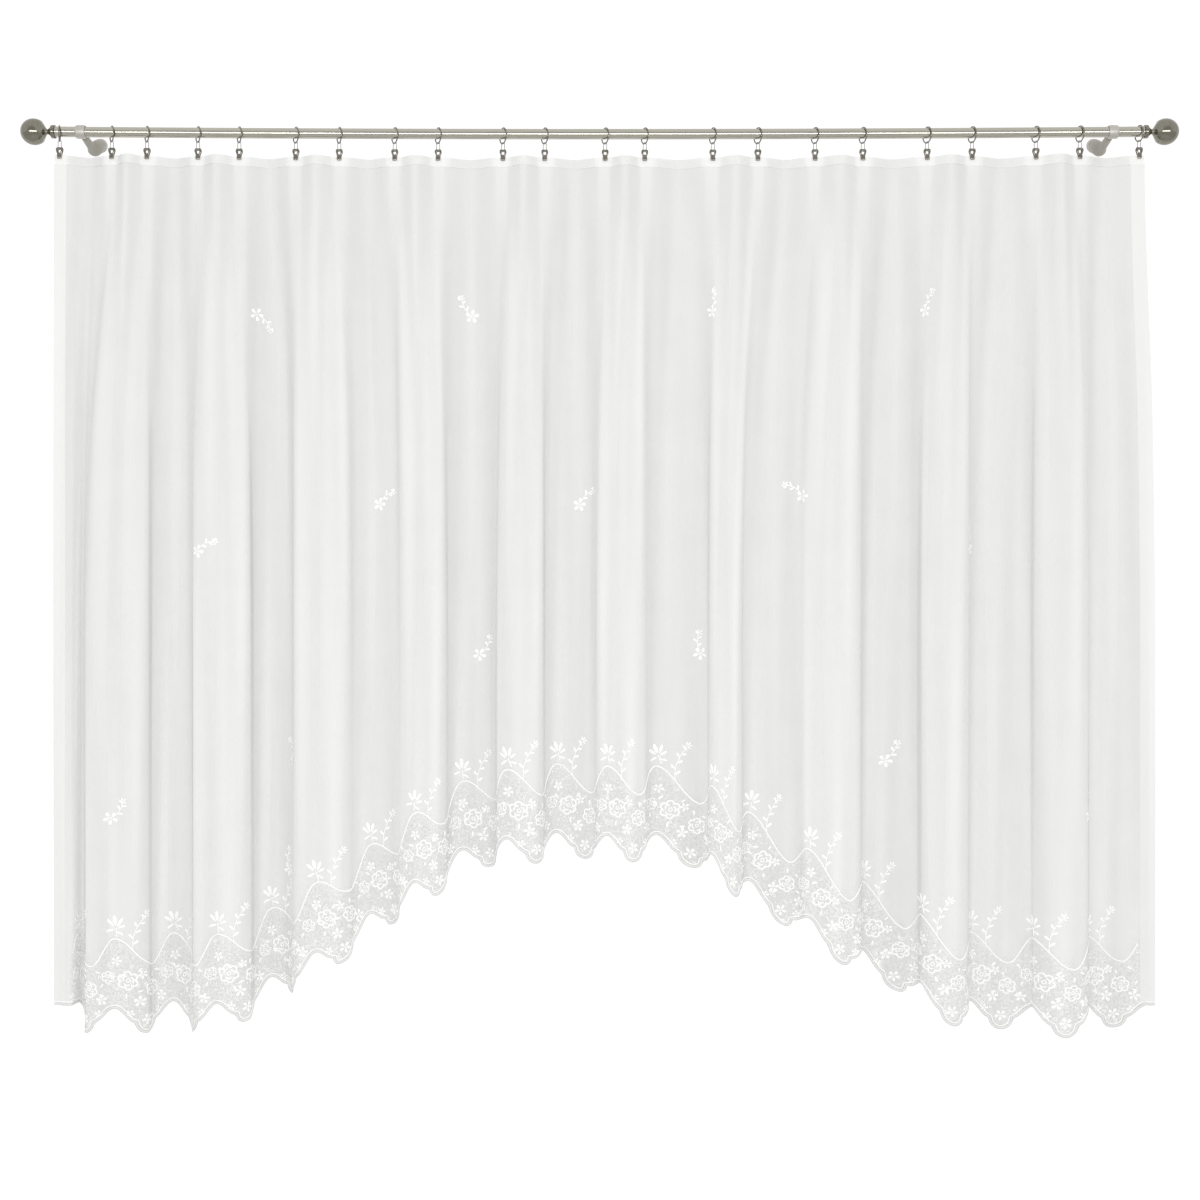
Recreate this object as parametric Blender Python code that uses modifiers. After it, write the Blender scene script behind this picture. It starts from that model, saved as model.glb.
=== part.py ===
"""Net curtain hanging in folds from a metal rod by rings with clips.

Metres, +Z up. The origin is the centre of the left wall plate's back, on the wall. +X runs along the
rod to the right, and the wall is the plane y = 0, with the curtain in front of it at negative y.
"""

import math

import bmesh
import bpy

MM = 0.001
GAP = 0.3 * MM

# Rod and brackets
BRACKET_SPAN = 1878 * MM
ROD_RADIUS = 9.5 * MM
ROD_OUT = 110 * MM
ROD_LEFT_END = -46 * MM
ROD_RIGHT_END = 1934 * MM
ROD_SAG = 4 * MM
ROD_STATIONS = 10
WALL_PLATE_RADIUS = 14 * MM
WALL_PLATE_THICK = 5 * MM
CLAMP_RADIUS = 12.4 * MM
CLAMP_WIDTH = 18 * MM
CLAMP_CHAMFER = 3 * MM
CLAMP_EASE = 1.4 * MM
CLAMP_PLAY = 0.4 * MM
FINIAL_LENGTH = 63 * MM
FINIAL_BALL_RADIUS = 24 * MM
FINIAL_BALL_TURNS = (25, 50, 75, 100, 122)

# The finial below its ball, from the neck to the face against the rod.
#   radius, distance from the rod's end
FINIAL_NECK = (
    (9.5 * MM, 19.0 * MM),
    (4.8 * MM, 15.5 * MM),
    (5.0 * MM, 12.5 * MM),
    (9.5 * MM, 8.0 * MM),
    (12.2 * MM, 6.0 * MM),
    (12.2 * MM, 0.0),
    (0.0, 0.0),
)

# The bracket arm's centre line from the wall plate to the clamp.
#   distance out from the wall, height, radius
ARM_STATIONS = (
    (WALL_PLATE_THICK + GAP, -3 * MM, 9.5 * MM),
    (12 * MM, -3 * MM, 12.5 * MM),
    (32 * MM, -13 * MM, 13.5 * MM),
    (41 * MM, -16 * MM, 11.0 * MM),
    (46 * MM, -16 * MM, 7.5 * MM),
    (68 * MM, -10 * MM, 7.0 * MM),
    (ROD_OUT - CLAMP_RADIUS - 0.2 * MM, -2.9 * MM, 6.3 * MM),
)

# Rings and clips
RING_INNER_RADIUS = 13.1 * MM
RING_WIRE_RADIUS = 1.2 * MM
RING_STEPS = 16
RING_WIRE_SIDES = 5
RING_SEAT_GAP = 0.45 * MM
CLIP_TOP_BELOW_ROD = 28 * MM
CLIP_HEIGHT = 21 * MM
CLIP_TOP_WIDTH = 13 * MM
CLIP_JAW_WIDTH = 8.5 * MM
CLIP_SHEET = 1.1 * MM
CLIP_SLOT = 3.2 * MM
CLIP_BELLY = 0.6 * MM
CLIP_BELLY_AT = 6 * MM
CLIP_BEND = 1.5 * MM
CLIP_ROOF = 2.6 * MM
CLIP_NARROWED_AT = 0.62
LOOP_INNER_WIDTH = 4.6 * MM
LOOP_WIRE = 1.1 * MM
LOOP_BELOW_RING = 1.3 * MM
LOOP_FOOT = 1.2 * MM
LOOP_SHOULDER = 2.0 * MM
LOOP_CORNER = 1.6 * MM

# Cloth
CLOTH_THICK = 1 * MM
CLOTH_PER_RING = 110 * MM
CLOTH_MARGIN = 10 * MM
CLOTH_TOP_BELOW_ROD = 42 * MM
TAPE_HEIGHT = 17 * MM
TAPE_TOP_SHOWS = 0.4 * MM
SIDE_DROP = 1548 * MM
ARCH_RISE = 315.5 * MM
ARCH_CENTRE = 10.735
ARCH_FLAT = 0.98
ARCH_REACH = 8.0
SCALLOP_START = 0.521
SCALLOP_REPEAT = 0.974
SCALLOP_COUNT = 21
SIDE_LOBE_DEPTH = 27 * MM
CENTRE_LOBE_DEPTH = 21 * MM
SIDE_LOBE_SHARE = 0.31

# Folds
HEADING_DEPTH = 20 * MM
HEADING_FLAT = 6 * MM
FOLD_SQUARENESS = 0.8
FOLD_FORMED_AT = 520 * MM
FOLD_SETTLED_AT = 900 * MM
SIDE_TURNS_AT = 0.4
FOLD_STEPS = 60
NORMAL_STEP = 0.01
COLUMNS_PER_FOLD = 12
ROWS_DOWN = (0.0, TAPE_HEIGHT, 120 * MM, 270 * MM, 520 * MM)

# One row for each ring: its place along the rod and its turn about the vertical, where the flank of
# the fold below it hangs lower down, and how deep the fold that follows it is. That fold lies behind
# the rod after the first ring, in front of it after the second, and so on by turns.
#   ring x, turn in degrees, flank x, depth of the next fold
RINGS = (
    (-39, 15, -40, 36),
    (56, 30, 8, 14),
    (120, 30, 124, 28),
    (213, 30, 203, 14),
    (288, 28, 310, 28),
    (391, 30, 386, 12),
    (470, 26, 493, 14),
    (571, 29, 579, 15),
    (650, 27, 666, 24),
    (768, 28, 756, 29),
    (844, 27, 844, 17),
    (954, 26, 937, 12),
    (1026, 25, 1029, 20),
    (1150, 22, 1141, 18),
    (1232, 24, 1204, 12),
    (1336, 21, 1312, 12),
    (1423, 19, 1420, 26),
    (1540, 20, 1525, 30),
    (1622, 17, 1616, 16),
    (1738, 16, 1729, 30),
    (1818, 14, 1834, 22),
    (1926, 12, 1945, 0),
)
RING_X = [row[0] * MM for row in RINGS]
RING_TURN = [math.radians(row[1]) for row in RINGS]
FLANK_X = [row[2] * MM for row in RINGS]
FOLD_DEPTH = [row[3] * MM for row in RINGS]
LAST_RING = len(RINGS) - 1

NICKEL = ("satin_nickel", (0.60, 0.57, 0.52), 0.32, 1.0)
BRACKET_GREY = ("matt_nickel", (0.46, 0.45, 0.42), 0.55, 0.8)
NET_WHITE = ("white_net", (0.93, 0.93, 0.92), 0.9, 0.0)
TAPE_WHITE = ("white_tape", (0.96, 0.96, 0.95), 0.85, 0.0)


def clear_scene():
    for thing in list(bpy.data.objects):
        bpy.data.objects.remove(thing, do_unlink=True)


def make_material(name, colour, roughness, metallic):
    finish = bpy.data.materials.new(name)
    finish.use_nodes = True
    shader = finish.node_tree.nodes["Principled BSDF"]
    shader.inputs["Base Color"].default_value = (*colour, 1.0)
    shader.inputs["Roughness"].default_value = roughness
    shader.inputs["Metallic"].default_value = metallic
    return finish


def add_object(name, data, finish, collection):
    thing = bpy.data.objects.new(name, data)
    if not data.materials:
        data.materials.append(finish)
    collection.objects.link(thing)
    return thing


def mesh_from(name, grid):
    mesh = bpy.data.meshes.new(name)
    grid.to_mesh(mesh)
    grid.free()
    return mesh


def smooth(share):
    """Eases from 0 to 1, level at both ends."""
    share = min(max(share, 0.0), 1.0)
    return share * share * (3 - 2 * share)


def turned_mesh(name, profile, steps, closed=False):
    """A profile of (radius, height) turned about the Z axis with the Screw modifier."""
    mesh = bpy.data.meshes.new(name + "_profile")
    points = [(radius, 0.0, height) for radius, height in profile]
    edges = [(number, number + 1) for number in range(len(points) - 1)]
    if closed:
        edges.append((len(points) - 1, 0))
    mesh.from_pydata(points, edges, [])
    helper = bpy.data.objects.new(name + "_turning", mesh)
    bpy.context.scene.collection.objects.link(helper)
    screw = helper.modifiers.new("turn", "SCREW")
    screw.steps = steps
    screw.render_steps = steps
    screw.use_merge_vertices = True
    screw.merge_threshold = 0.00001
    return applied_mesh(name, helper)


def applied_mesh(name, helper):
    """The helper's shape after its modifiers, as a plain mesh. The helper is removed."""
    bpy.context.view_layer.update()
    graph = bpy.context.evaluated_depsgraph_get()
    mesh = bpy.data.meshes.new_from_object(helper.evaluated_get(graph))
    mesh.name = name
    bpy.data.objects.remove(helper, do_unlink=True)
    return mesh


def extruded_outline(outline, thickness):
    """A bmesh of an outline in the YZ plane, made into a plate of this thickness along X."""
    solid = bmesh.new()
    corners = [solid.verts.new((-thickness / 2, y, z)) for y, z in outline]
    face = solid.faces.new(corners)
    grown = bmesh.ops.extrude_face_region(solid, geom=[face])
    moved = [part for part in grown["geom"] if isinstance(part, bmesh.types.BMVert)]
    bmesh.ops.translate(solid, verts=moved, vec=(thickness, 0, 0))
    bmesh.ops.recalc_face_normals(solid, faces=solid.faces)
    return solid


def rod_height(x):
    """The rod's axis, level at the brackets and a little low between them."""
    from_middle = (x - BRACKET_SPAN / 2) / (BRACKET_SPAN / 2)
    return -ROD_SAG * (1 - from_middle**2)


def make_rod(collection, finish):
    path = bpy.data.curves.new("rod", "CURVE")
    path.dimensions = "3D"
    path.bevel_depth = ROD_RADIUS
    path.bevel_resolution = 6
    path.use_fill_caps = True
    spline = path.splines.new("POLY")
    spline.points.add(ROD_STATIONS - 1)
    for number, point in enumerate(spline.points):
        x = ROD_LEFT_END + (ROD_RIGHT_END - ROD_LEFT_END) * number / (ROD_STATIONS - 1)
        point.co = (x, -ROD_OUT, rod_height(x), 1)
    add_object("rod", path, finish, collection)


def finial_profile():
    """From the ball's far end, along the neck and cone, to the collar's face against the rod."""
    radius = FINIAL_BALL_RADIUS
    centre = FINIAL_LENGTH - radius
    points = [(0.0, FINIAL_LENGTH)]
    for degrees in FINIAL_BALL_TURNS:
        angle = math.radians(degrees)
        points.append((radius * math.sin(angle), centre + radius * math.cos(angle)))
    return points + list(FINIAL_NECK)


def make_finials(collection, finish):
    mesh = turned_mesh("finial", finial_profile(), 16)
    mesh.shade_smooth()
    mesh.set_sharp_from_angle(angle=math.radians(40))
    for name, side, rod_end in (
        ("finial_left", -1, ROD_LEFT_END),
        ("finial_right", 1, ROD_RIGHT_END),
    ):
        finial = add_object(name, mesh, finish, collection)
        finial.location = (rod_end + side * GAP, -ROD_OUT, rod_height(rod_end))
        finial.rotation_euler = (0, side * math.pi / 2, 0)


def wall_plate_profile():
    """A flat disc with a rounded front edge. Its back is at height 0."""
    radius = WALL_PLATE_RADIUS
    thick = WALL_PLATE_THICK
    return [
        (0.0, thick),
        (radius - 3 * MM, thick),
        (radius - 1 * MM, thick - 1 * MM),
        (radius, thick - 2.5 * MM),
        (radius, 0.0),
        (0.0, 0.0),
    ]


def clamp_profile():
    """The cross-section of the clamp's ring round the rod, with its outer edges eased."""
    bore = ROD_RADIUS + CLAMP_PLAY
    half = CLAMP_WIDTH / 2
    return [
        (bore, half),
        (CLAMP_RADIUS - CLAMP_EASE, half),
        (CLAMP_RADIUS, half - CLAMP_CHAMFER),
        (CLAMP_RADIUS, -half + CLAMP_CHAMFER),
        (CLAMP_RADIUS - CLAMP_EASE, -half),
        (bore, -half),
    ]


def make_arm(name, x, collection, finish):
    path = bpy.data.curves.new(name, "CURVE")
    path.dimensions = "3D"
    path.bevel_depth = 1.0
    path.bevel_resolution = 4
    path.use_fill_caps = True
    spline = path.splines.new("POLY")
    spline.points.add(len(ARM_STATIONS) - 1)
    for point, (out, height, radius) in zip(spline.points, ARM_STATIONS):
        point.co = (x, -out, height, 1)
        point.radius = radius
    add_object(name, path, finish, collection)


def make_brackets(collection, finish):
    plate = turned_mesh("wall_plate", wall_plate_profile(), 20)
    clamp = turned_mesh("rod_clamp", clamp_profile(), 16, closed=True)
    for side, x in (("left", 0.0), ("right", BRACKET_SPAN)):
        wall_plate = add_object("wall_plate_" + side, plate, finish, collection)
        wall_plate.location = (x, 0, 0)
        wall_plate.rotation_euler = (math.pi / 2, 0, 0)
        rod_clamp = add_object("rod_clamp_" + side, clamp, finish, collection)
        rod_clamp.location = (x, -ROD_OUT, 0)
        rod_clamp.rotation_euler = (0, math.pi / 2, 0)
        make_arm("bracket_arm_" + side, x, collection, finish)


def ring_drop(turn):
    """How far a ring's centre hangs below the rod's axis when the ring is turned about the vertical."""
    circle = RING_INNER_RADIUS + RING_WIRE_RADIUS
    clear = ROD_RADIUS + RING_WIRE_RADIUS + RING_SEAT_GAP
    on_top = circle - clear
    if on_top >= circle * math.sin(turn) ** 2:
        return on_top
    return math.tan(turn) * math.sqrt((circle * math.cos(turn)) ** 2 - clear**2)


def make_rings(collection, finish):
    bpy.ops.mesh.primitive_torus_add(
        major_radius=RING_INNER_RADIUS + RING_WIRE_RADIUS,
        minor_radius=RING_WIRE_RADIUS,
        major_segments=RING_STEPS,
        minor_segments=RING_WIRE_SIDES,
    )
    pattern = bpy.context.object
    mesh = pattern.data.copy()
    mesh.name = "ring"
    bpy.data.objects.remove(pattern, do_unlink=True)
    mesh.shade_smooth()
    for number, (x, turn) in enumerate(zip(RING_X, RING_TURN), start=1):
        ring = add_object(f"ring_{number:02d}", mesh, finish, collection)
        ring.location = (x, -ROD_OUT, rod_height(x) - ring_drop(turn))
        ring.rotation_euler = (0, math.pi / 2, turn)


def clip_side_outline():
    """The clip seen from its side, a strip bent over into two jaws. Height 0 is its top."""
    slot = CLIP_SLOT / 2
    outside = slot + CLIP_SHEET
    foot = -CLIP_HEIGHT
    return [
        (-outside, foot),
        (-outside - CLIP_BELLY, -CLIP_BELLY_AT),
        (-outside, -CLIP_BEND),
        (-slot, 0.0),
        (slot, 0.0),
        (outside, -CLIP_BEND),
        (outside + CLIP_BELLY, -CLIP_BELLY_AT),
        (outside, foot),
        (slot, foot),
        (slot + CLIP_BELLY, -CLIP_BELLY_AT),
        (slot - CLIP_BELLY, -CLIP_ROOF),
        (-slot + CLIP_BELLY, -CLIP_ROOF),
        (-slot - CLIP_BELLY, -CLIP_BELLY_AT),
        (-slot, foot),
    ]


def clip_body():
    """The bent strip, wide at its top and narrow at its jaws."""
    body = extruded_outline(clip_side_outline(), 1.0)
    for corner in body.verts:
        share = -corner.co.z / CLIP_HEIGHT
        narrowed = smooth(share / CLIP_NARROWED_AT)
        width = CLIP_TOP_WIDTH + (CLIP_JAW_WIDTH - CLIP_TOP_WIDTH) * narrowed
        corner.co.x *= width
    return mesh_from("clip_body", body)


def clip_loop():
    """The wire loop over the clip, a tall arch whose feet are sunk in the clip's top."""
    inner = LOOP_INNER_WIDTH / 2
    outer = inner + LOOP_WIRE
    top = CLIP_TOP_BELOW_ROD - RING_INNER_RADIUS - LOOP_BELOW_RING
    shoulder = top - LOOP_SHOULDER
    foot = -LOOP_FOOT
    outline = [
        (-outer, foot),
        (-outer, shoulder),
        (-outer + LOOP_CORNER, top),
        (outer - LOOP_CORNER, top),
        (outer, shoulder),
        (outer, foot),
        (inner, foot),
        (inner, shoulder),
        (inner - LOOP_CORNER, top - LOOP_WIRE),
        (-inner + LOOP_CORNER, top - LOOP_WIRE),
        (-inner, shoulder),
        (-inner, foot),
    ]
    loop = extruded_outline(outline, LOOP_WIRE)
    for corner in loop.verts:
        corner.co.x, corner.co.y = corner.co.y, -corner.co.x
    return mesh_from("clip_loop", loop)


def make_clips(collection, cutters, finish):
    body = bpy.data.objects.new("clip_body", clip_body())
    loop = bpy.data.objects.new("clip_loop", clip_loop())
    for helper in (body, loop):
        cutters.objects.link(helper)
        helper.hide_render = True
        helper.display_type = "WIRE"
    joint = body.modifiers.new("loop", "BOOLEAN")
    joint.operation = "UNION"
    joint.object = loop
    mesh = applied_mesh("clip", body)
    mesh.materials.clear()
    bpy.data.objects.remove(loop, do_unlink=True)
    behind = (CLOTH_THICK + GAP) / 2
    for number, (x, turn) in enumerate(zip(RING_X, RING_TURN), start=1):
        clip = add_object(f"clip_{number:02d}", mesh, finish, collection)
        hang = rod_height(x) - ring_drop(turn) + ring_drop(0) - CLIP_TOP_BELOW_ROD
        clip.location = (x, -ROD_OUT + behind, hang)


def wave(start, finish, depth, squareness, share):
    """One fold seen from above, between two flanks: (x, depth) at this share of the way."""
    bulge = squareness * math.sin(2 * math.pi * share) / (2 * math.pi)
    x = start + (finish - start) * (share - bulge)
    return x, depth * math.sin(math.pi * share)


def side_wave(start, finish, depth, share):
    """The fold at the left side edge: straight back from the edge, then slanting forward again."""
    if share < SIDE_TURNS_AT:
        return start, depth * math.sin(math.pi / 2 * share / SIDE_TURNS_AT)
    onward = (share - SIDE_TURNS_AT) / (1 - SIDE_TURNS_AT)
    return start + (finish - start) * onward, depth * math.cos(math.pi / 2 * onward)


def fold_curve(fold, share):
    """A point on a fold as it hangs lower down, seen from above: (x, depth)."""
    depth = FOLD_DEPTH[fold] if fold % 2 == 0 else -FOLD_DEPTH[fold]
    start = FLANK_X[fold]
    finish = FLANK_X[fold + 1]
    if fold == 0:
        return side_wave(start, finish, depth, share)
    squareness = FOLD_SQUARENESS
    if fold == LAST_RING - 1 and share > 0.5:
        squareness = 0.0
    return wave(start, finish, depth, squareness, share)


def even_points(fold):
    """Points along a fold with the same length of cloth between each and the next."""
    curve = [fold_curve(fold, step / FOLD_STEPS) for step in range(FOLD_STEPS + 1)]
    lengths = [0.0]
    for a, b in zip(curve, curve[1:]):
        lengths.append(lengths[-1] + math.dist(a, b))
    points = [curve[0]]
    step = 0
    for number in range(1, FOLD_STEPS):
        wanted = lengths[-1] * number / FOLD_STEPS
        while lengths[step + 1] < wanted:
            step += 1
        share = (wanted - lengths[step]) / (lengths[step + 1] - lengths[step])
        points.append(between_points(curve[step], curve[step + 1], share))
    return points + [curve[-1]]


def between_points(a, b, share):
    return a[0] + (b[0] - a[0]) * share, a[1] + (b[1] - a[1]) * share


HUNG_FOLDS = [even_points(fold) for fold in range(LAST_RING)]


def hung_point(fold, share):
    """Where the net hangs lower down, this share of the cloth along a fold."""
    step = min(int(share * FOLD_STEPS), FOLD_STEPS - 1)
    points = HUNG_FOLDS[fold]
    return between_points(points[step], points[step + 1], share * FOLD_STEPS - step)


def heading_depth(between, share):
    """The heading's bow between two clips. It lies flat along the rod where each clip grips it."""
    flat = HEADING_FLAT / between
    bowed = min(max((share - flat) / (1 - 2 * flat), 0.0), 1.0)
    return HEADING_DEPTH * math.sin(math.pi * bowed) ** 2


def plan_point(place, drop):
    """Where the net's middle lies seen from above, (x, distance behind the rod).

    place counts rings along the cloth, with fractions between them; drop is measured down the cloth.
    """
    inside = min(max(place, 0.0), LAST_RING)
    fold = min(int(inside), LAST_RING - 1)
    share = inside - fold
    side = 1 if fold % 2 == 0 else -1
    between = RING_X[fold + 1] - RING_X[fold]
    top_x = RING_X[fold] + between * share
    top_depth = side * heading_depth(between, share)
    low_x, low_depth = hung_point(fold, share)
    formed = smooth(drop / FOLD_FORMED_AT)
    settled = smooth(drop / FOLD_SETTLED_AT)
    x = top_x + (low_x - top_x) * (0.5 * formed + 0.5 * settled)
    depth = top_depth + (low_depth - top_depth) * formed
    return x + (place - inside) * CLOTH_PER_RING, depth


def scallop(place):
    """The edge's depth below its rounded notches: a side lobe, a deeper middle lobe, a side lobe."""
    count = (place - SCALLOP_START) / SCALLOP_REPEAT
    if count < 0 or count > SCALLOP_COUNT:
        return 0.0
    share = count % 1.0
    from_notch = min(share, 1 - share)
    if from_notch < SIDE_LOBE_SHARE:
        return SIDE_LOBE_DEPTH * smooth(from_notch / SIDE_LOBE_SHARE)
    across = (share - 0.5) / (0.5 - SIDE_LOBE_SHARE)
    return SIDE_LOBE_DEPTH + CENTRE_LOBE_DEPTH * math.sqrt(max(0.0, 1 - across**2))


def edge_drop(place):
    """How far down the cloth its lower edge is cut: long at the sides, arched up in the middle."""
    away = (abs(place - ARCH_CENTRE) - ARCH_FLAT) / (ARCH_REACH - ARCH_FLAT)
    return SIDE_DROP - ARCH_RISE * (1 - smooth(away)) + scallop(place)


def cloth_places():
    margin = CLOTH_MARGIN / CLOTH_PER_RING
    steps = LAST_RING * COLUMNS_PER_FOLD
    return [-margin] + [step / COLUMNS_PER_FOLD for step in range(steps + 1)] + [LAST_RING + margin]


def cloth_grid(drops_at, behind):
    """An open sheet over the folds. drops_at gives each column's drops; behind sets it back."""
    grid = bmesh.new()
    columns = []
    for place in cloth_places():
        column = []
        for drop in drops_at(place):
            x, depth = plan_point(place, drop)
            ahead = plan_point(place + NORMAL_STEP, drop)
            back = plan_point(place - NORMAL_STEP, drop)
            along = (ahead[0] - back[0], ahead[1] - back[1])
            length = math.hypot(*along)
            normal = (-along[1] / length, along[0] / length)
            height = rod_height(plan_point(place, 0.0)[0]) - CLOTH_TOP_BELOW_ROD - drop
            spot = (x + normal[0] * behind, depth - ROD_OUT + normal[1] * behind, height)
            column.append(grid.verts.new(spot))
        columns.append(column)
    for left, right in zip(columns, columns[1:]):
        for row in range(len(left) - 1):
            grid.faces.new((left[row], left[row + 1], right[row + 1], right[row]))
    return grid


def panel_drops(place):
    return list(ROWS_DOWN) + [edge_drop(place)]


def tape_drops(_):
    return [TAPE_TOP_SHOWS, TAPE_HEIGHT]


def make_sheet(name, grid, collection, finish):
    sheet = add_object(name, mesh_from(name, grid), finish, collection)
    thick = sheet.modifiers.new("thickness", "SOLIDIFY")
    thick.thickness = CLOTH_THICK
    thick.offset = 0.0
    return sheet


def build():
    clear_scene()
    collection = bpy.data.collections.new("net_curtain_on_rod")
    cutters = bpy.data.collections.new("cutters")
    bpy.context.scene.collection.children.link(collection)
    bpy.context.scene.collection.children.link(cutters)
    nickel = make_material(*NICKEL)
    bracket_grey = make_material(*BRACKET_GREY)
    make_rod(collection, nickel)
    make_finials(collection, nickel)
    make_brackets(collection, bracket_grey)
    make_rings(collection, nickel)
    make_clips(collection, cutters, nickel)
    net = cloth_grid(panel_drops, 0.0)
    make_sheet("net_panel", net, collection, make_material(*NET_WHITE))
    tape = cloth_grid(tape_drops, CLOTH_THICK + GAP)
    make_sheet("heading_tape", tape, collection, make_material(*TAPE_WHITE))


build()
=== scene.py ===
import math
import random

import bmesh
import bpy
import numpy as np
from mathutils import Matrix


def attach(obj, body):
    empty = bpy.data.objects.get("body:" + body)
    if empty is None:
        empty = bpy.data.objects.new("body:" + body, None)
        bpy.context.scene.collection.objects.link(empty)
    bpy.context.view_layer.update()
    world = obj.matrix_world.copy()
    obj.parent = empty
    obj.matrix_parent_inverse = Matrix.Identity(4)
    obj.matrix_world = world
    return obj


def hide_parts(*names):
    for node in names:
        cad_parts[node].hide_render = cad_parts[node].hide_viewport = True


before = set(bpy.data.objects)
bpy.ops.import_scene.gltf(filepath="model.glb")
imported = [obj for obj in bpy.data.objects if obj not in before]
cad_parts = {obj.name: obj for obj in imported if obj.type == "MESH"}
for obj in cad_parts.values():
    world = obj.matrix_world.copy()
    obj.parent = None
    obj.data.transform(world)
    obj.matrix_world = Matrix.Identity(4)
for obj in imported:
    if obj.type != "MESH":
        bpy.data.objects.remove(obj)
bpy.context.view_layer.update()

# The net curtain on its rod, dressed for the render. Metres, +Z up, the wall is the plane y = 0.
#
# The net and its embroidery are first laid out flat, as in the workroom: x runs along the cloth from
# the first ring, y is the height, with 0 at the top edge, and z is the lift towards the room. They are
# then hung: every point is carried to its place on the folds.

MM = 0.001
GAP = 0.3 * MM

# Rod and brackets
BRACKET_SPAN = 1878 * MM
ROD_RADIUS = 9.5 * MM
ROD_OUT = 110 * MM
ROD_LEFT_END = -46 * MM
ROD_RIGHT_END = 1934 * MM
ROD_SAG = 4 * MM

# Cloth
CLOTH_PER_RING = 110 * MM
CLOTH_MARGIN = 10 * MM
CLOTH_TOP_BELOW_ROD = 42 * MM
TAPE_HEIGHT = 17 * MM
SIDE_DROP = 1548 * MM
ARCH_RISE = 315.5 * MM
ARCH_CENTRE = 10.735
ARCH_FLAT = 0.98
ARCH_REACH = 8.0
SCALLOP_START = 0.521
SCALLOP_REPEAT = 0.974
SCALLOP_COUNT = 21
SIDE_LOBE_DEPTH = 27 * MM
CENTRE_LOBE_DEPTH = 21 * MM
SIDE_LOBE_SHARE = 0.31

# Folds
HEADING_DEPTH = 20 * MM
HEADING_FLAT = 6 * MM
FOLD_SQUARENESS = 0.8
FOLD_FORMED_AT = 520 * MM
FOLD_SETTLED_AT = 900 * MM
FOLD_STEPS = 60
PLAN_STEP = 0.01
RIPPLE_FROM = 30 * MM
RIPPLE_GROWS_OVER = 260 * MM
RIPPLE_DRIFT = 3

# The left side's fold: its front faces the room, then it turns back and comes forward again. The shares
# are of the cloth in the fold.
SIDE_FRONT = 22 * MM
SIDE_FRONT_SHARE = 0.3
SIDE_BACK = 11 * MM
SIDE_TURNS_AT = 0.6

#   ring x, turn in degrees, flank x, depth of the next fold
RINGS = (
    (-39, 15, -40, 26),
    (56, 30, 8, 14),
    (120, 30, 124, 28),
    (213, 30, 203, 14),
    (288, 28, 310, 28),
    (391, 30, 386, 12),
    (470, 26, 493, 14),
    (571, 29, 579, 15),
    (650, 27, 666, 24),
    (768, 28, 756, 29),
    (844, 27, 844, 17),
    (954, 26, 937, 12),
    (1026, 25, 1029, 20),
    (1150, 22, 1141, 18),
    (1232, 24, 1204, 12),
    (1336, 21, 1312, 12),
    (1423, 19, 1420, 26),
    (1540, 20, 1525, 30),
    (1622, 17, 1616, 16),
    (1738, 16, 1729, 30),
    (1818, 14, 1834, 22),
    (1926, 12, 1945, 0),
)
RING_X = np.array([row[0] * MM for row in RINGS])
RING_TURN = [math.radians(row[1]) for row in RINGS]
FLANK_X = [row[2] * MM for row in RINGS]
FOLD_DEPTH = [row[3] * MM for row in RINGS]
LAST_RING = len(RINGS) - 1
CLOTH_LEFT = -CLOTH_MARGIN
CLOTH_RIGHT = LAST_RING * CLOTH_PER_RING + CLOTH_MARGIN


# The hanging shape of the cloth

def smooth(share):
    share = np.clip(share, 0.0, 1.0)
    return share * share * (3 - 2 * share)


def rod_height(x):
    """The rod's axis, level at the brackets and a little low between them."""
    from_middle = (x - BRACKET_SPAN / 2) / (BRACKET_SPAN / 2)
    return -ROD_SAG * (1 - from_middle**2)


def fold_curve(fold, share):
    """A fold as it hangs lower down, seen from above: arrays of x and depth."""
    depth = FOLD_DEPTH[fold] if fold % 2 == 0 else -FOLD_DEPTH[fold]
    start = FLANK_X[fold]
    width = FLANK_X[fold + 1] - start
    if fold == 0:
        front = np.clip(share / SIDE_FRONT_SHARE, 0.0, 1.0)
        back = np.clip((share - SIDE_FRONT_SHARE) / (SIDE_TURNS_AT - SIDE_FRONT_SHARE), 0.0, 1.0)
        onward = np.clip((share - SIDE_TURNS_AT) / (1 - SIDE_TURNS_AT), 0.0, 1.0)
        x = start + SIDE_FRONT * front + SIDE_BACK * back + (width - SIDE_FRONT - SIDE_BACK) * onward
        return x, depth * smooth(back) * np.cos(math.pi / 2 * onward)
    squareness = np.full_like(share, FOLD_SQUARENESS)
    if fold == LAST_RING - 1:
        squareness[share > 0.5] = 0.0
    bulge = squareness * np.sin(2 * math.pi * share) / (2 * math.pi)
    return start + width * (share - bulge), depth * np.sin(math.pi * share)


def measured_folds():
    """x and depth at even lengths along the cloth, and the place counted in rings for each."""
    shares = np.linspace(0.0, 1.0, FOLD_STEPS + 1)
    places = []
    across = []
    depths = []
    for fold in range(LAST_RING):
        x, depth = fold_curve(fold, shares)
        lengths = np.concatenate([[0.0], np.cumsum(np.hypot(np.diff(x), np.diff(depth)))])
        lengths /= lengths[-1]
        keep = slice(0, None) if fold == LAST_RING - 1 else slice(0, -1)
        places.append((fold + shares)[keep])
        across.append(np.interp(shares, lengths, x)[keep])
        depths.append(np.interp(shares, lengths, depth)[keep])
    return np.concatenate(places), np.concatenate(across), np.concatenate(depths)


HUNG_PLACES, HUNG_X, HUNG_DEPTH = measured_folds()

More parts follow.
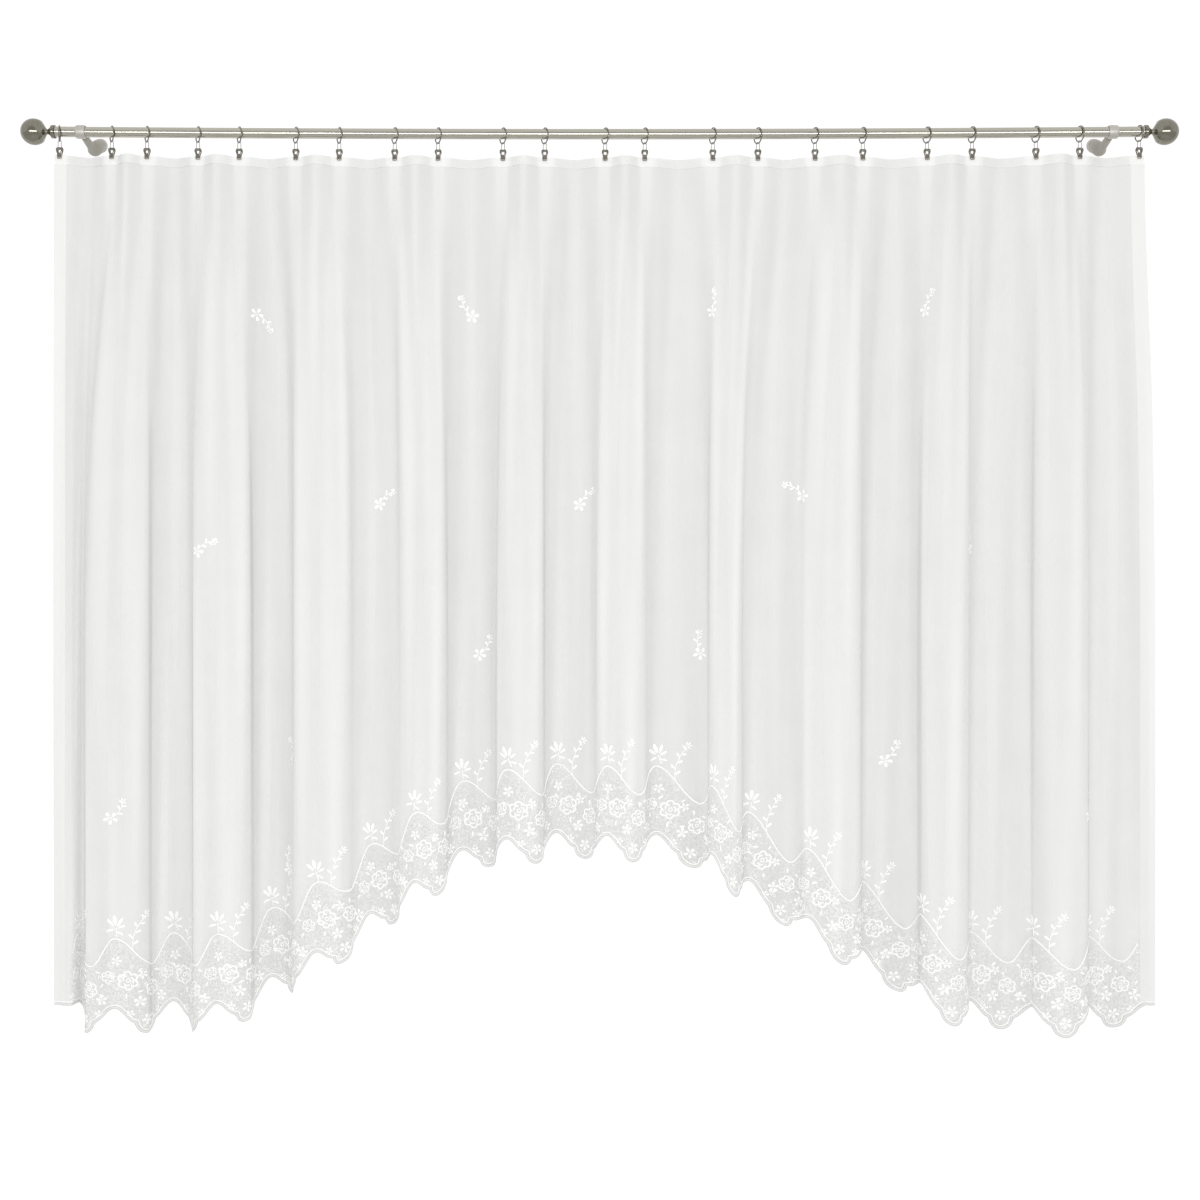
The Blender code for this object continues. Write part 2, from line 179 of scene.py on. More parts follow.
# Small ripples between the main folds: wavelength along the cloth, drift down it, amplitude, phase.
RIPPLES = (
    (31 * MM, 1.9, 0.55 * MM, 0.4),
    (47 * MM, -1.3, 0.9 * MM, 2.1),
    (73 * MM, 0.8, 1.3 * MM, 4.0),
)


def ripple(place, drop):
    along = place * CLOTH_PER_RING
    total = np.zeros_like(along)
    for wavelength, drift, amplitude, phase in RIPPLES:
        total += amplitude * np.sin(2 * math.pi * along / wavelength + drift * drop * RIPPLE_DRIFT + phase)
    return total * smooth((drop - RIPPLE_FROM) / RIPPLE_GROWS_OVER)


def plan(place, drop):
    """Where the cloth lies seen from above at these places and drops: x and distance behind the rod."""
    inside = np.clip(place, 0.0, LAST_RING)
    fold = np.minimum(inside.astype(int), LAST_RING - 1)
    share = inside - fold
    between = RING_X[fold + 1] - RING_X[fold]
    flat = HEADING_FLAT / between
    bowed = np.clip((share - flat) / (1 - 2 * flat), 0.0, 1.0)
    side = np.where(fold % 2 == 0, 1.0, -1.0)
    top_x = RING_X[fold] + between * share
    top_depth = side * HEADING_DEPTH * np.sin(math.pi * bowed) ** 2
    low_x = np.interp(inside, HUNG_PLACES, HUNG_X)
    low_depth = np.interp(inside, HUNG_PLACES, HUNG_DEPTH)
    formed = smooth(drop / FOLD_FORMED_AT)
    settled = smooth(drop / FOLD_SETTLED_AT)
    x = top_x + (low_x - top_x) * (0.5 * formed + 0.5 * settled)
    depth = top_depth + (low_depth - top_depth) * formed
    return x + (place - inside) * CLOTH_PER_RING, depth + ripple(place, drop)


def along_cloth(place, drop):
    """How x and depth change from just before these places to just after them."""
    ahead_x, ahead_depth = plan(place + PLAN_STEP, drop)
    back_x, back_depth = plan(place - PLAN_STEP, drop)
    return ahead_x - back_x, ahead_depth - back_depth


def place_and_drop(flat):
    """The place counted in rings and the drop below the top of each flat point."""
    return flat[:, 0] / CLOTH_PER_RING, -flat[:, 1]


def hang(flat):
    """Carries flat points, an array of (along, height, lift), to their places on the hung cloth."""
    place, drop = place_and_drop(flat)
    x, depth = plan(place, drop)
    along_x, along_depth = along_cloth(place, drop)
    length = np.hypot(along_x, along_depth)
    top_x, _ = plan(place, np.zeros_like(drop))
    hung = np.empty_like(flat)
    hung[:, 0] = x + along_depth / length * flat[:, 2]
    hung[:, 1] = depth - ROD_OUT - along_x / length * flat[:, 2]
    hung[:, 2] = rod_height(top_x) - CLOTH_TOP_BELOW_ROD - drop
    return hung


def side_lobe(from_notch):
    """How far a side lobe hangs below the notches, this share of a repeat from the nearest one."""
    return SIDE_LOBE_DEPTH * smooth(from_notch / SIDE_LOBE_SHARE)


def scallop(place):
    """The edge's depth below its rounded notches: a side lobe, a deeper middle lobe, a side lobe."""
    count = (place - SCALLOP_START) / SCALLOP_REPEAT
    share = count % 1.0
    from_notch = np.minimum(share, 1 - share)
    across = (share - 0.5) / (0.5 - SIDE_LOBE_SHARE)
    centre_lobe = SIDE_LOBE_DEPTH + CENTRE_LOBE_DEPTH * np.sqrt(np.clip(1 - across**2, 0, 1))
    lobe = np.where(from_notch < SIDE_LOBE_SHARE, side_lobe(from_notch), centre_lobe)
    return np.where((count < 0) | (count > SCALLOP_COUNT), 0.0, lobe)


def arch_drop(place):
    """The drop to the line on which the notches lie: long at the sides, arched up in the middle."""
    away = (np.abs(place - ARCH_CENTRE) - ARCH_FLAT) / (ARCH_REACH - ARCH_FLAT)
    return SIDE_DROP - ARCH_RISE * (1 - smooth(away))


def edge_drop(place):
    return arch_drop(place) + scallop(place)


# Mesh helpers

def new_object(name, mesh, finish=None):
    thing = bpy.data.objects.new(name, mesh)
    bpy.context.scene.collection.objects.link(thing)
    if finish is not None:
        mesh.materials.clear()
        mesh.materials.append(finish)
    return thing


def mesh_points(mesh):
    points = np.empty(len(mesh.vertices) * 3)
    mesh.vertices.foreach_get("co", points)
    return points.reshape(-1, 3)


def add_values(mesh, name, values):
    """Keeps one number for each point of the mesh under this name."""
    mesh.attributes.new(name, "FLOAT", "POINT").data.foreach_set("value", values)


def new_curve(name, lines):
    """Curve data with straight runs through each of these lines of (x, y, z) points."""
    path = bpy.data.curves.new(name, "CURVE")
    path.dimensions = "3D"
    for line in lines:
        spline = path.splines.new("POLY")
        spline.points.add(len(line) - 1)
        for point, place in zip(spline.points, line):
            point.co = (*place, 1.0)
    return path


def hang_mesh(mesh):
    """Keeps the flat places as the UV map named cloth, in metres, then hangs the mesh."""
    flat = mesh_points(mesh)
    corners = np.empty(len(mesh.loops), dtype=np.int32)
    mesh.loops.foreach_get("vertex_index", corners)
    layer = mesh.uv_layers.get("cloth") or mesh.uv_layers.new(name="cloth")
    layer.data.foreach_set("uv", flat[corners, :2].ravel())
    mesh.vertices.foreach_set("co", hang(flat).ravel())
    mesh.update()


def evaluated_mesh(name, helper):
    """The helper's shape after its modifiers, as a plain mesh. The helper is removed."""
    bpy.context.view_layer.update()
    graph = bpy.context.evaluated_depsgraph_get()
    mesh = bpy.data.meshes.new_from_object(helper.evaluated_get(graph))
    mesh.name = name
    bpy.data.objects.remove(helper, do_unlink=True)
    return mesh


def mended(mesh):
    """Merges the points that touch, drops loose ones and turns the faces outwards."""
    solid = bmesh.new()
    solid.from_mesh(mesh)
    bmesh.ops.remove_doubles(solid, verts=solid.verts, dist=0.001 * MM)
    loose = [point for point in solid.verts if not point.link_faces]
    bmesh.ops.delete(solid, geom=loose, context="VERTS")
    bmesh.ops.recalc_face_normals(solid, faces=solid.faces)
    solid.to_mesh(mesh)
    solid.free()
    return mesh


def turned_mesh(name, profile, steps, closed=False):
    """A profile of (radius, height) turned about the Z axis."""
    mesh = bpy.data.meshes.new(name + "_profile")
    edges = [(number, number + 1) for number in range(len(profile) - 1)]
    if closed:
        edges.append((len(profile) - 1, 0))
    mesh.from_pydata([(radius, 0.0, height) for radius, height in profile], edges, [])
    helper = new_object(name, mesh)
    screw = helper.modifiers.new("turn", "SCREW")
    screw.steps = steps
    screw.render_steps = steps
    screw.use_merge_vertices = True
    screw.merge_threshold = 0.00001
    return mended(evaluated_mesh(name, helper))


# Materials

class Nodes:
    """A small helper that adds nodes to a tree and links them by name."""

    def __init__(self, tree):
        self.tree = tree

    def add(self, kind, inputs=None, **settings):
        node = self.tree.nodes.new(kind)
        for key, value in settings.items():
            setattr(node, key, value)
        for key, value in (inputs or {}).items():
            self.feed(node, key, value)
        return node

    def feed(self, node, key, value):
        socket = node.inputs[key]
        if isinstance(value, bpy.types.NodeSocket):
            self.tree.links.new(value, socket)
        else:
            socket.default_value = value

    def math(self, operation, first, second=0.0):
        return self.add("ShaderNodeMath", {0: first, 1: second}, operation=operation).outputs[0]

    def ranged(self, value, ends, **settings):
        return self.add("ShaderNodeMapRange", {"Value": value, **ends}, **settings).outputs["Result"]


class Finish(Nodes):
    """The nodes of a new material."""

    def __init__(self, name):
        self.material = bpy.data.materials.new(name)
        self.material.use_nodes = True
        super().__init__(self.material.node_tree)
        self.shader = self.tree.nodes["Principled BSDF"]

    def cloth_place(self):
        """The place on the flat cloth, and its two parts: metres along the cloth and up it."""
        where = self.add("ShaderNodeUVMap", uv_map="cloth").outputs["UV"]
        parts = self.add("ShaderNodeSeparateXYZ", {"Vector": where}).outputs
        return where, parts["X"], parts["Y"]

    def attribute(self, name):
        return self.add("ShaderNodeAttribute", attribute_name=name).outputs["Fac"]

    def noise(self, where, scale, detail):
        node = self.add("ShaderNodeTexNoise", {"Vector": where, "Scale": scale, "Detail": detail})
        return node.outputs["Fac"]

    def mixed(self, share, first, second):
        node = self.add("ShaderNodeMix", {"Factor": share, "A": first, "B": second}, data_type="RGBA")
        return node.outputs["Result"]

    def shade(self, **values):
        for key, value in values.items():
            self.feed(self.shader, key.replace("_", " "), value)

    def bump(self, height, strength, distance):
        node = self.add("ShaderNodeBump", {"Height": height, "Strength": strength, "Distance": distance})
        self.feed(self.shader, "Normal", node.outputs["Normal"])


def threads(make, along, pitch, share):
    """1 on the threads that cross this direction and 0 in the openings between them, softly."""
    turn = make.math("MULTIPLY", along, 2 * math.pi / pitch)
    wave = make.math("COSINE", turn)
    lifted = make.math("ADD", wave, 2 * share - 1)
    return make.ranged(lifted, {"From Min": -0.5, "From Max": 0.5})


# How the net looks: its threads, how clear it is between them, how much less on them, how far that
# varies, and how many layers the fine ground of the embroidery counts for.
NET_PITCH = 1.1 * MM
NET_THREAD_SHARE = 0.42
NET_CLEAR = 0.56
NET_THREADS_TAKE = 0.20
NET_CLEAR_VARIES = 0.10
GROUND_LAYERS = 0.95
THIN_NET = ((0.49, 0.49, 0.485, 1), (0.55, 0.55, 0.545, 1))
DENSE_NET = (0.83, 0.83, 0.825, 1)
TAPE_PITCH = 1.6 * MM


def net_finish():
    """Sheer net: fine threads crossing, with clear holes between. More layers are denser and whiter. Where
    it slants, creases, lies behind or ripples it is covered more: partly thread crowding, partly painted
    shade.
    """
    make = Finish("fine_white_net")
    where, along, up = make.cloth_place()
    weave = make.math("MAXIMUM", threads(make, along, NET_PITCH, NET_THREAD_SHARE),
                      threads(make, up, NET_PITCH, NET_THREAD_SHARE))
    drawn = make.add("ShaderNodeCombineXYZ", {"X": make.math("MULTIPLY", along, 70.0),
                                              "Y": make.math("MULTIPLY", up, 2.0)})
    slub = make.noise(drawn.outputs["Vector"], scale=1.0, detail=3.0)
    clear_here = make.math("SUBTRACT", NET_CLEAR, make.math("MULTIPLY", weave, NET_THREADS_TAKE))
    varied = make.math("ADD", clear_here, make.math("MULTIPLY", slub, NET_CLEAR_VARIES))
    clump = make.ranged(make.noise(where, scale=260.0, detail=2.0), {"From Min": 0.44, "From Max": 0.60})
    laced = make.math("MULTIPLY", make.math("MULTIPLY", clump, make.attribute("worked")), GROUND_LAYERS)
    layers = make.attribute("layers")
    # Painted shade: the slant values cover more where the cloth slants, creases, lies behind or ripples, so
    # it looks darker there.
    cover_and_painted_shade = make.math("ADD", make.math("MULTIPLY", layers, make.attribute("slant_and_painted_shade")), laced)
    clear_share = make.math("POWER", varied, cover_and_painted_shade)
    thin = make.mixed(make.noise(where, scale=14.0, detail=2.0), *THIN_NET)
    dense = make.ranged(layers, {"From Min": 1.0, "From Max": 3.0})
    make.shade(Base_Color=make.mixed(dense, thin, DENSE_NET), Alpha=make.math("SUBTRACT", 1.0, clear_share),
               Roughness=0.8, Sheen_Weight=0.1, Sheen_Roughness=0.4, Specular_IOR_Level=0.2)
    make.bump(weave, 0.25, 0.15 * MM)
    return make.material


def tape_finish():
    """The woven heading tape, with ribs across it."""
    make = Finish("white_heading_tape")
    _, along, _ = make.cloth_place()
    ribs = threads(make, along, TAPE_PITCH, 0.6)
    colour = make.mixed(ribs, (0.78, 0.78, 0.772, 1), (0.84, 0.84, 0.832, 1))
    make.shade(Base_Color=colour, Roughness=0.75, Sheen_Weight=0.1)
    make.bump(ribs, 0.4, 0.2 * MM)
    return make.material


def stitch_finish(name, dark, light):
    """Glossy embroidery thread in fine parallel stitches."""
    make = Finish(name)
    where, _, _ = make.cloth_place()
    fine = make.noise(where, scale=1400.0, detail=1.0)
    colour = make.mixed(fine, (dark, dark, dark * 0.99, 1), (light, light, light * 0.99, 1))
    make.shade(Base_Color=colour, Roughness=0.5, Sheen_Weight=0.1, Specular_IOR_Level=0.4)
    make.bump(fine, 0.3, 0.2 * MM)
    return make.material


def metal_finish(name, dark, light, roughness, stretch):
    """Brushed metal: its grain is fine along the axes with a large stretch, and varies in tone."""
    make = Finish(name)
    where = make.add("ShaderNodeTexCoord")
    scaled = make.add("ShaderNodeMapping", {"Vector": where.outputs["Object"], "Scale": stretch})
    brushed = make.noise(scaled.outputs["Vector"], scale=1.0, detail=4.0)
    rough = make.ranged(brushed, {"To Min": roughness - 0.06, "To Max": roughness + 0.08})
    make.shade(Base_Color=make.mixed(brushed, (*dark, 1), (*light, 1)), Metallic=1.0, Roughness=rough)
    make.bump(brushed, 0.04, 0.05 * MM)
    return make.material


NET = net_finish()
TAPE = tape_finish()
STITCH = stitch_finish("white_satin_stitch", dark=0.84, light=0.94)
# Painted shade: the white edging cord is coloured grey for the shade on its rounded sides.
EDGING_WITH_PAINTED_SHADE = stitch_finish("white_edging_cord", dark=0.66, light=0.74)
NICKEL = metal_finish("satin_nickel_brushed", dark=(0.35, 0.335, 0.29), light=(0.52, 0.50, 0.44),
                      roughness=0.18, stretch=(14, 1300, 1300))
BRIGHT_NICKEL = metal_finish("bright_nickel_turned", dark=(0.17, 0.16, 0.13), light=(0.27, 0.255, 0.215),
                             roughness=0.12, stretch=(260, 60, 60))
SMALL_NICKEL = metal_finish("satin_nickel_wire", dark=(0.15, 0.14, 0.12), light=(0.27, 0.255, 0.22),
                            roughness=0.2, stretch=(300, 300, 300))
MATT_NICKEL = metal_finish("matt_nickel_cast", dark=(0.24, 0.23, 0.20), light=(0.38, 0.36, 0.32),
                           roughness=0.40, stretch=(420, 420, 420))
PALE_NICKEL = metal_finish("pale_nickel_blasted", dark=(0.42, 0.41, 0.37), light=(0.60, 0.585, 0.54),
                           roughness=0.5, stretch=(700, 700, 700))


# The net and its heading tape

NET_COLUMNS_PER_FOLD = 32
# Rows of the net: drops below its top in mm, a number of even ones, and heights above its edge in mm.
TOP_ROWS = (0, 6, 12, 16.5, 17.5, 24, 34, 48, 66, 90, 120, 155)
FIELD_ROWS = 34
EDGE_ROWS = (110, 80, 55, 36, 22, 12, 5, 0)
TAPE_BEHIND = 1.2 * MM
VINE_LOW = 74 * MM
VINE_RISE = 52 * MM
VINE_LOW_AT = 0.63
GROUND_BELOW_VINE = 10 * MM
GROUND_EASE = 16 * MM
PLAIN_LEFT = 44 * MM
PLAIN_RIGHT = 26 * MM
PLAIN_EASE = 12 * MM
HEM_WIDTH = 24 * MM
HEM_LAYERS = 1.3
TUCK_HALF_WIDTH = 17 * MM
TUCK_LENGTH = 240 * MM
TUCK_LAYERS = 0.95
HEADING_LAYERS = 1.8
# How much denser the net looks where it slants, partly thread crowding seen from the front and partly
# painted shade, and how much painted shade darkens it where it creases, lies behind or crumples. Each pair
# says where a change starts and over how much more it grows, in steepness or in rings from the nearer side.
LEAST_FACE_ON = 0.2
MOST_SLANT = 1.22
SLANT_AT_SIDE = 0.2
SLANT_GROWS = (0.3, 0.9)
CREASE_PAINTED_SHADE = 0.75
CREASE_STEEPNESS = (2.2, 2.0)
CREASES_GROW = (0.8, 0.6)
SIDE_CREASE_PAINTED_SHADE = 0.12
SIDE_CREASE_WIDTH = 0.12
BEHIND_PAINTED_SHADE = 0.12
BEHIND_AT_SIDE = 0.35
BEHIND_GROWS = (2.0, 2.5)
BEHIND_EDGES = 2.4
CRUMPLE_PAINTED_SHADE = 0.22
CRUMPLE_SHIFT = 0.3
MOST_RIPPLE = 2.75 * MM
BANDS_FORMED_AT = 230 * MM


def net_places():
    margin = CLOTH_MARGIN / CLOTH_PER_RING
    inner = np.linspace(0.0, LAST_RING, LAST_RING * NET_COLUMNS_PER_FOLD + 1)
    hem = HEM_WIDTH / CLOTH_PER_RING
    extra = np.array([-margin, -margin / 2, hem - margin, LAST_RING + margin - hem,
                      LAST_RING + margin / 2, LAST_RING + margin])
    return np.unique(np.concatenate([extra, inner]))


def sheet_mesh(name, places, drops):
    """A flat grid of quads, one column for each place and one row for each of its drops, in metres."""
    columns, rows = drops.shape
    points = np.zeros((columns, rows, 3))
    points[:, :, 0] = places[:, None] * CLOTH_PER_RING
    points[:, :, 1] = -drops
    corner = np.arange(columns * rows).reshape(columns, rows)
    faces = np.stack([corner[:-1, :-1], corner[:-1, 1:], corner[1:, 1:], corner[1:, :-1]], axis=-1)
    mesh = bpy.data.meshes.new(name)
    mesh.from_pydata(points.reshape(-1, 3).tolist(), [], faces.reshape(-1, 4).tolist())
    return mesh


def from_sides(flat):
    """How far each flat point lies from the cloth's left side, and how far from its right side."""
    return flat[:, 0] - CLOTH_LEFT, CLOTH_RIGHT - flat[:, 0]


def cloth_layers(flat):
    """How many layers of net lie over each other at each flat point, as a number that may vary."""
    place, drop = place_and_drop(flat)
    layers = np.ones(len(flat))
    ring = np.clip(np.round(place), 0, LAST_RING)
    from_ring = np.abs(place - ring) * CLOTH_PER_RING
    tuck = 1 - smooth((from_ring - TUCK_HALF_WIDTH * 0.4) / (TUCK_HALF_WIDTH * 0.9))
    tucked = TUCK_LAYERS * tuck * (1 - smooth(drop / TUCK_LENGTH))
    left, right = from_sides(flat)
    hemmed = np.where(np.minimum(left, right) < HEM_WIDTH, HEM_LAYERS, 0.0)
    layers += np.maximum(tucked, hemmed)
    layers += np.where(drop < TAPE_HEIGHT, HEADING_LAYERS, 0.0)
    return layers


def vine_height(share):
    """Height of the embroidered vine above the notches' line, this share of the way along a repeat."""
    fall = 0.5 * share / VINE_LOW_AT
    rise = 0.5 + 0.5 * (share - VINE_LOW_AT) / (1 - VINE_LOW_AT)
    turn = np.where(share < VINE_LOW_AT, fall, rise)
    return VINE_LOW + VINE_RISE * (0.5 + 0.5 * np.cos(2 * math.pi * turn))


def worked_share(flat):
    """How much of the embroidery's fine ground covers each flat point: none above the vine or at a side."""
    place, drop = place_and_drop(flat)
    share = ((place - SCALLOP_START) / SCALLOP_REPEAT) % 1.0
    up = arch_drop(place) - drop
    left, right = from_sides(flat)
    beside = smooth(np.minimum(left - PLAIN_LEFT, right - PLAIN_RIGHT) / PLAIN_EASE + 1)
    return beside * (1 - smooth((up - vine_height(share) + GROUND_BELOW_VINE) / GROUND_EASE))


def grown(value, start, over):
    return smooth((value - start) / over)


def cloth_cover_and_painted_shade(flat):
    """How much more thread covers the view on the slanting flanks, partly as painted shade, with painted
    shade added on the creases, on the folds that lie behind and along the small ripples.
    """
    place, drop = place_and_drop(flat)
    along_x, along_depth = along_cloth(place, drop)
    face_on = np.abs(along_x) / np.hypot(along_x, along_depth)
    steep = 1 / np.maximum(face_on, LEAST_FACE_ON)
    inside = np.clip(place, 0.0, LAST_RING)
    from_side = np.minimum(inside, LAST_RING - inside)
    flank_cover_and_crease_shade = np.minimum(steep, MOST_SLANT)
    # Painted shade: extra cover darkens the creases where the cloth turns edge-on.
    flank_cover_and_crease_shade += CREASE_PAINTED_SHADE * grown(steep, *CREASE_STEEPNESS) * grown(from_side, *CREASES_GROW)
    flank_cover_and_crease_shade = 1 + (flank_cover_and_crease_shade - 1) * (SLANT_AT_SIDE + (1 - SLANT_AT_SIDE) * grown(from_side, *SLANT_GROWS))
    # Painted shade along the crease where the left side's fold turns back.
    flank_cover_and_crease_shade += SIDE_CREASE_PAINTED_SHADE * np.exp(-((inside - SIDE_TURNS_AT) / SIDE_CREASE_WIDTH) ** 2)
    # Painted shade: the folds that lie behind are covered more, so they look darker.
    fold = np.minimum(inside.astype(int), LAST_RING - 1)
    painted_shade_behind = np.where(fold % 2 == 0, 1.0, -1.0)
    painted_shade_behind *= np.minimum(1.0, BEHIND_EDGES * np.sin(math.pi * (inside - fold)))
    painted_shade_behind *= BEHIND_PAINTED_SHADE * (BEHIND_AT_SIDE + (1 - BEHIND_AT_SIDE) * grown(from_side, *BEHIND_GROWS))
    # Painted shade along the small ripples.
    painted_crumple_shade = CRUMPLE_PAINTED_SHADE * ripple(place, drop + CRUMPLE_SHIFT) / MOST_RIPPLE
    return flank_cover_and_crease_shade * (1 + (painted_shade_behind + painted_crumple_shade) * smooth(drop / BANDS_FORMED_AT))


def make_net():
    places = net_places()
    edge = edge_drop(places)
    top = np.tile(np.array(TOP_ROWS) * MM, (len(places), 1))
    low = edge[:, None] - np.array(EDGE_ROWS) * MM
    share = np.linspace(0.0, 1.0, FIELD_ROWS + 2)[1:-1]
    field = top[:, -1:] + (low[:, :1] - top[:, -1:]) * share
    mesh = sheet_mesh("net", places, np.concatenate([top, field, low], axis=1))
    flat = mesh_points(mesh)
    add_values(mesh, "layers", cloth_layers(flat))
    # Thread crowding on the slanting flanks, with painted shade on creases, back folds and ripples.
    add_values(mesh, "slant_and_painted_shade", cloth_cover_and_painted_shade(flat))
    add_values(mesh, "worked", worked_share(flat))
    hang_mesh(mesh)
    mesh.shade_smooth()
    return new_object("net", mesh, NET)


def make_tape():
    places = net_places()
    drops = np.tile(np.array([0.5, 6, 12, TAPE_HEIGHT / MM]) * MM, (len(places), 1))
    mesh = sheet_mesh("heading_tape_strip", places, drops)
    flat = mesh_points(mesh)
    flat[:, 2] = -TAPE_BEHIND
    mesh.vertices.foreach_set("co", flat.ravel())
    hang_mesh(mesh)
    mesh.shade_smooth()
    return new_object("heading_tape_strip", mesh, TAPE)


# Embroidery trees

class Shapes(Nodes):
    """The nodes of a Geometry Nodes tree. Its inputs are given as a kind for each name."""

    def __init__(self, name, inputs):
        super().__init__(bpy.data.node_groups.new(name, "GeometryNodeTree"))
        self.tree.is_modifier = True
        face = self.tree.interface
        for label, kind in inputs.items():
            face.new_socket(label, in_out="INPUT", socket_type="NodeSocket" + kind)
        face.new_socket("Made", in_out="OUTPUT", socket_type="NodeSocketGeometry")
        self.given = self.add("NodeGroupInput").outputs

    def end(self, shape):
        """Makes this shape's instances real, in the finish that is given. Returns the tree."""
        real = self.add("GeometryNodeRealizeInstances", {"Geometry": shape})
        finish = self.add("GeometryNodeSetMaterial", {"Geometry": real.outputs["Geometry"],
                                                      "Material": self.given["Finish"]})
        self.add("NodeGroupOutput", {"Made": finish.outputs["Geometry"]})
        return self.tree


def line_tree():
    """Sweeps an oval section along each curve: a stitched line, a wire or a tube."""
    make = Shapes("swept_line", {"Path": "Geometry", "Line width": "Float", "Line height": "Float",
                                 "Step": "Float", "Sides": "Int", "Finish": "Material"})
    given = make.given
    even = make.add("GeometryNodeResampleCurve", {"Curve": given["Path"], "Length": given["Step"]},
                    mode="LENGTH")
    level = make.add("GeometryNodeSetCurveNormal", {"Curve": even.outputs["Curve"]}, mode="Z_UP")
    section = make.add("GeometryNodeCurvePrimitiveCircle", {"Resolution": given["Sides"], "Radius": 0.5})
    sizes = make.add("ShaderNodeCombineXYZ", {"X": given["Line width"], "Y": given["Line height"],
                                              "Z": 1.0})
    shaped = make.add("GeometryNodeTransform", {"Geometry": section.outputs["Curve"],
                                                "Scale": sizes.outputs["Vector"]})
    swept = make.add("GeometryNodeCurveToMesh", {"Curve": level.outputs["Curve"],
                                                 "Profile Curve": shaped.outputs["Geometry"],
                                                 "Fill Caps": True})
    return make.end(swept.outputs["Mesh"])


def scatter_tree():
    """Sets one motif on every point, turned and sized by the point's own attributes."""
    make = Shapes("set_motifs", {"Places": "Geometry", "Motif": "Object", "Finish": "Material"})
    motif = make.add("GeometryNodeObjectInfo", {"Object": make.given["Motif"]})
    turn = make.add("GeometryNodeInputNamedAttribute", {"Name": "turn"})
    size = make.add("GeometryNodeInputNamedAttribute", {"Name": "size"})
    turned = make.add("ShaderNodeCombineXYZ", {"Z": turn.outputs["Attribute"]})
    angle = make.add("FunctionNodeEulerToRotation", {"Euler": turned.outputs["Vector"]})
    placed = make.add("GeometryNodeInstanceOnPoints", {"Points": make.given["Places"],
                                                       "Instance": motif.outputs["Geometry"],
                                                       "Rotation": angle.outputs["Rotation"],
                                                       "Scale": size.outputs["Attribute"]})
    return make.end(placed.outputs["Instances"])


def run_tree(name, data, tree, values):
    """The mesh that the tree makes from this curve or mesh, with its inputs set by their names."""
    helper = new_object(name, data)
    maker = helper.modifiers.new("maker", "NODES")
    maker.node_group = tree
    for item in tree.interface.items_tree:
        if item.in_out == "INPUT" and item.name in values:
            maker[item.identifier] = values[item.name]
    mesh = evaluated_mesh(name, helper)
    mesh.materials.clear()
    mesh.materials.append(values["Finish"])
    return mesh


LINE_TREE = line_tree()
SCATTER_TREE = scatter_tree()


def swept_lines(name, lines, width, height, step, sides, finish):
    """An oval section swept along each of these lines of (x, y, z) points."""
    values = {"Line width": width, "Line height": height, "Step": step, "Sides": sides, "Finish": finish}
    return run_tree(name, new_curve(name, lines), LINE_TREE, values)


def stitched_lines(name, lines, width, height, step, thread):
    """Raised lines of stitching along these flat lines of (x, y) points."""
    flat = [[(x, y, 0.0) for x, y in line] for line in lines]
    return swept_lines(name, flat, width, height, step, 6, thread)


def set_pieces(name, spots, pattern, finish):
    """The pattern set at each spot of (x, y, z, turn in radians about the vertical, size)."""
    mesh = bpy.data.meshes.new(name)
    mesh.from_pydata([spot[:3] for spot in spots], [], [])
    add_values(mesh, "turn", [spot[3] for spot in spots])
    add_values(mesh, "size", [spot[4] for spot in spots])
    made = run_tree(name, mesh, SCATTER_TREE, {"Motif": pattern, "Finish": finish})
    bpy.data.objects.remove(pattern, do_unlink=True)
    return made


def set_motifs(name, spots, motif):
    """The motif stitched at each flat spot of (x, y, turn in radians, size)."""
    return set_pieces(name, [(x, y, 0.0, turn, size) for x, y, turn, size in spots], motif, STITCH)


# Motifs, each drawn flat at its real size

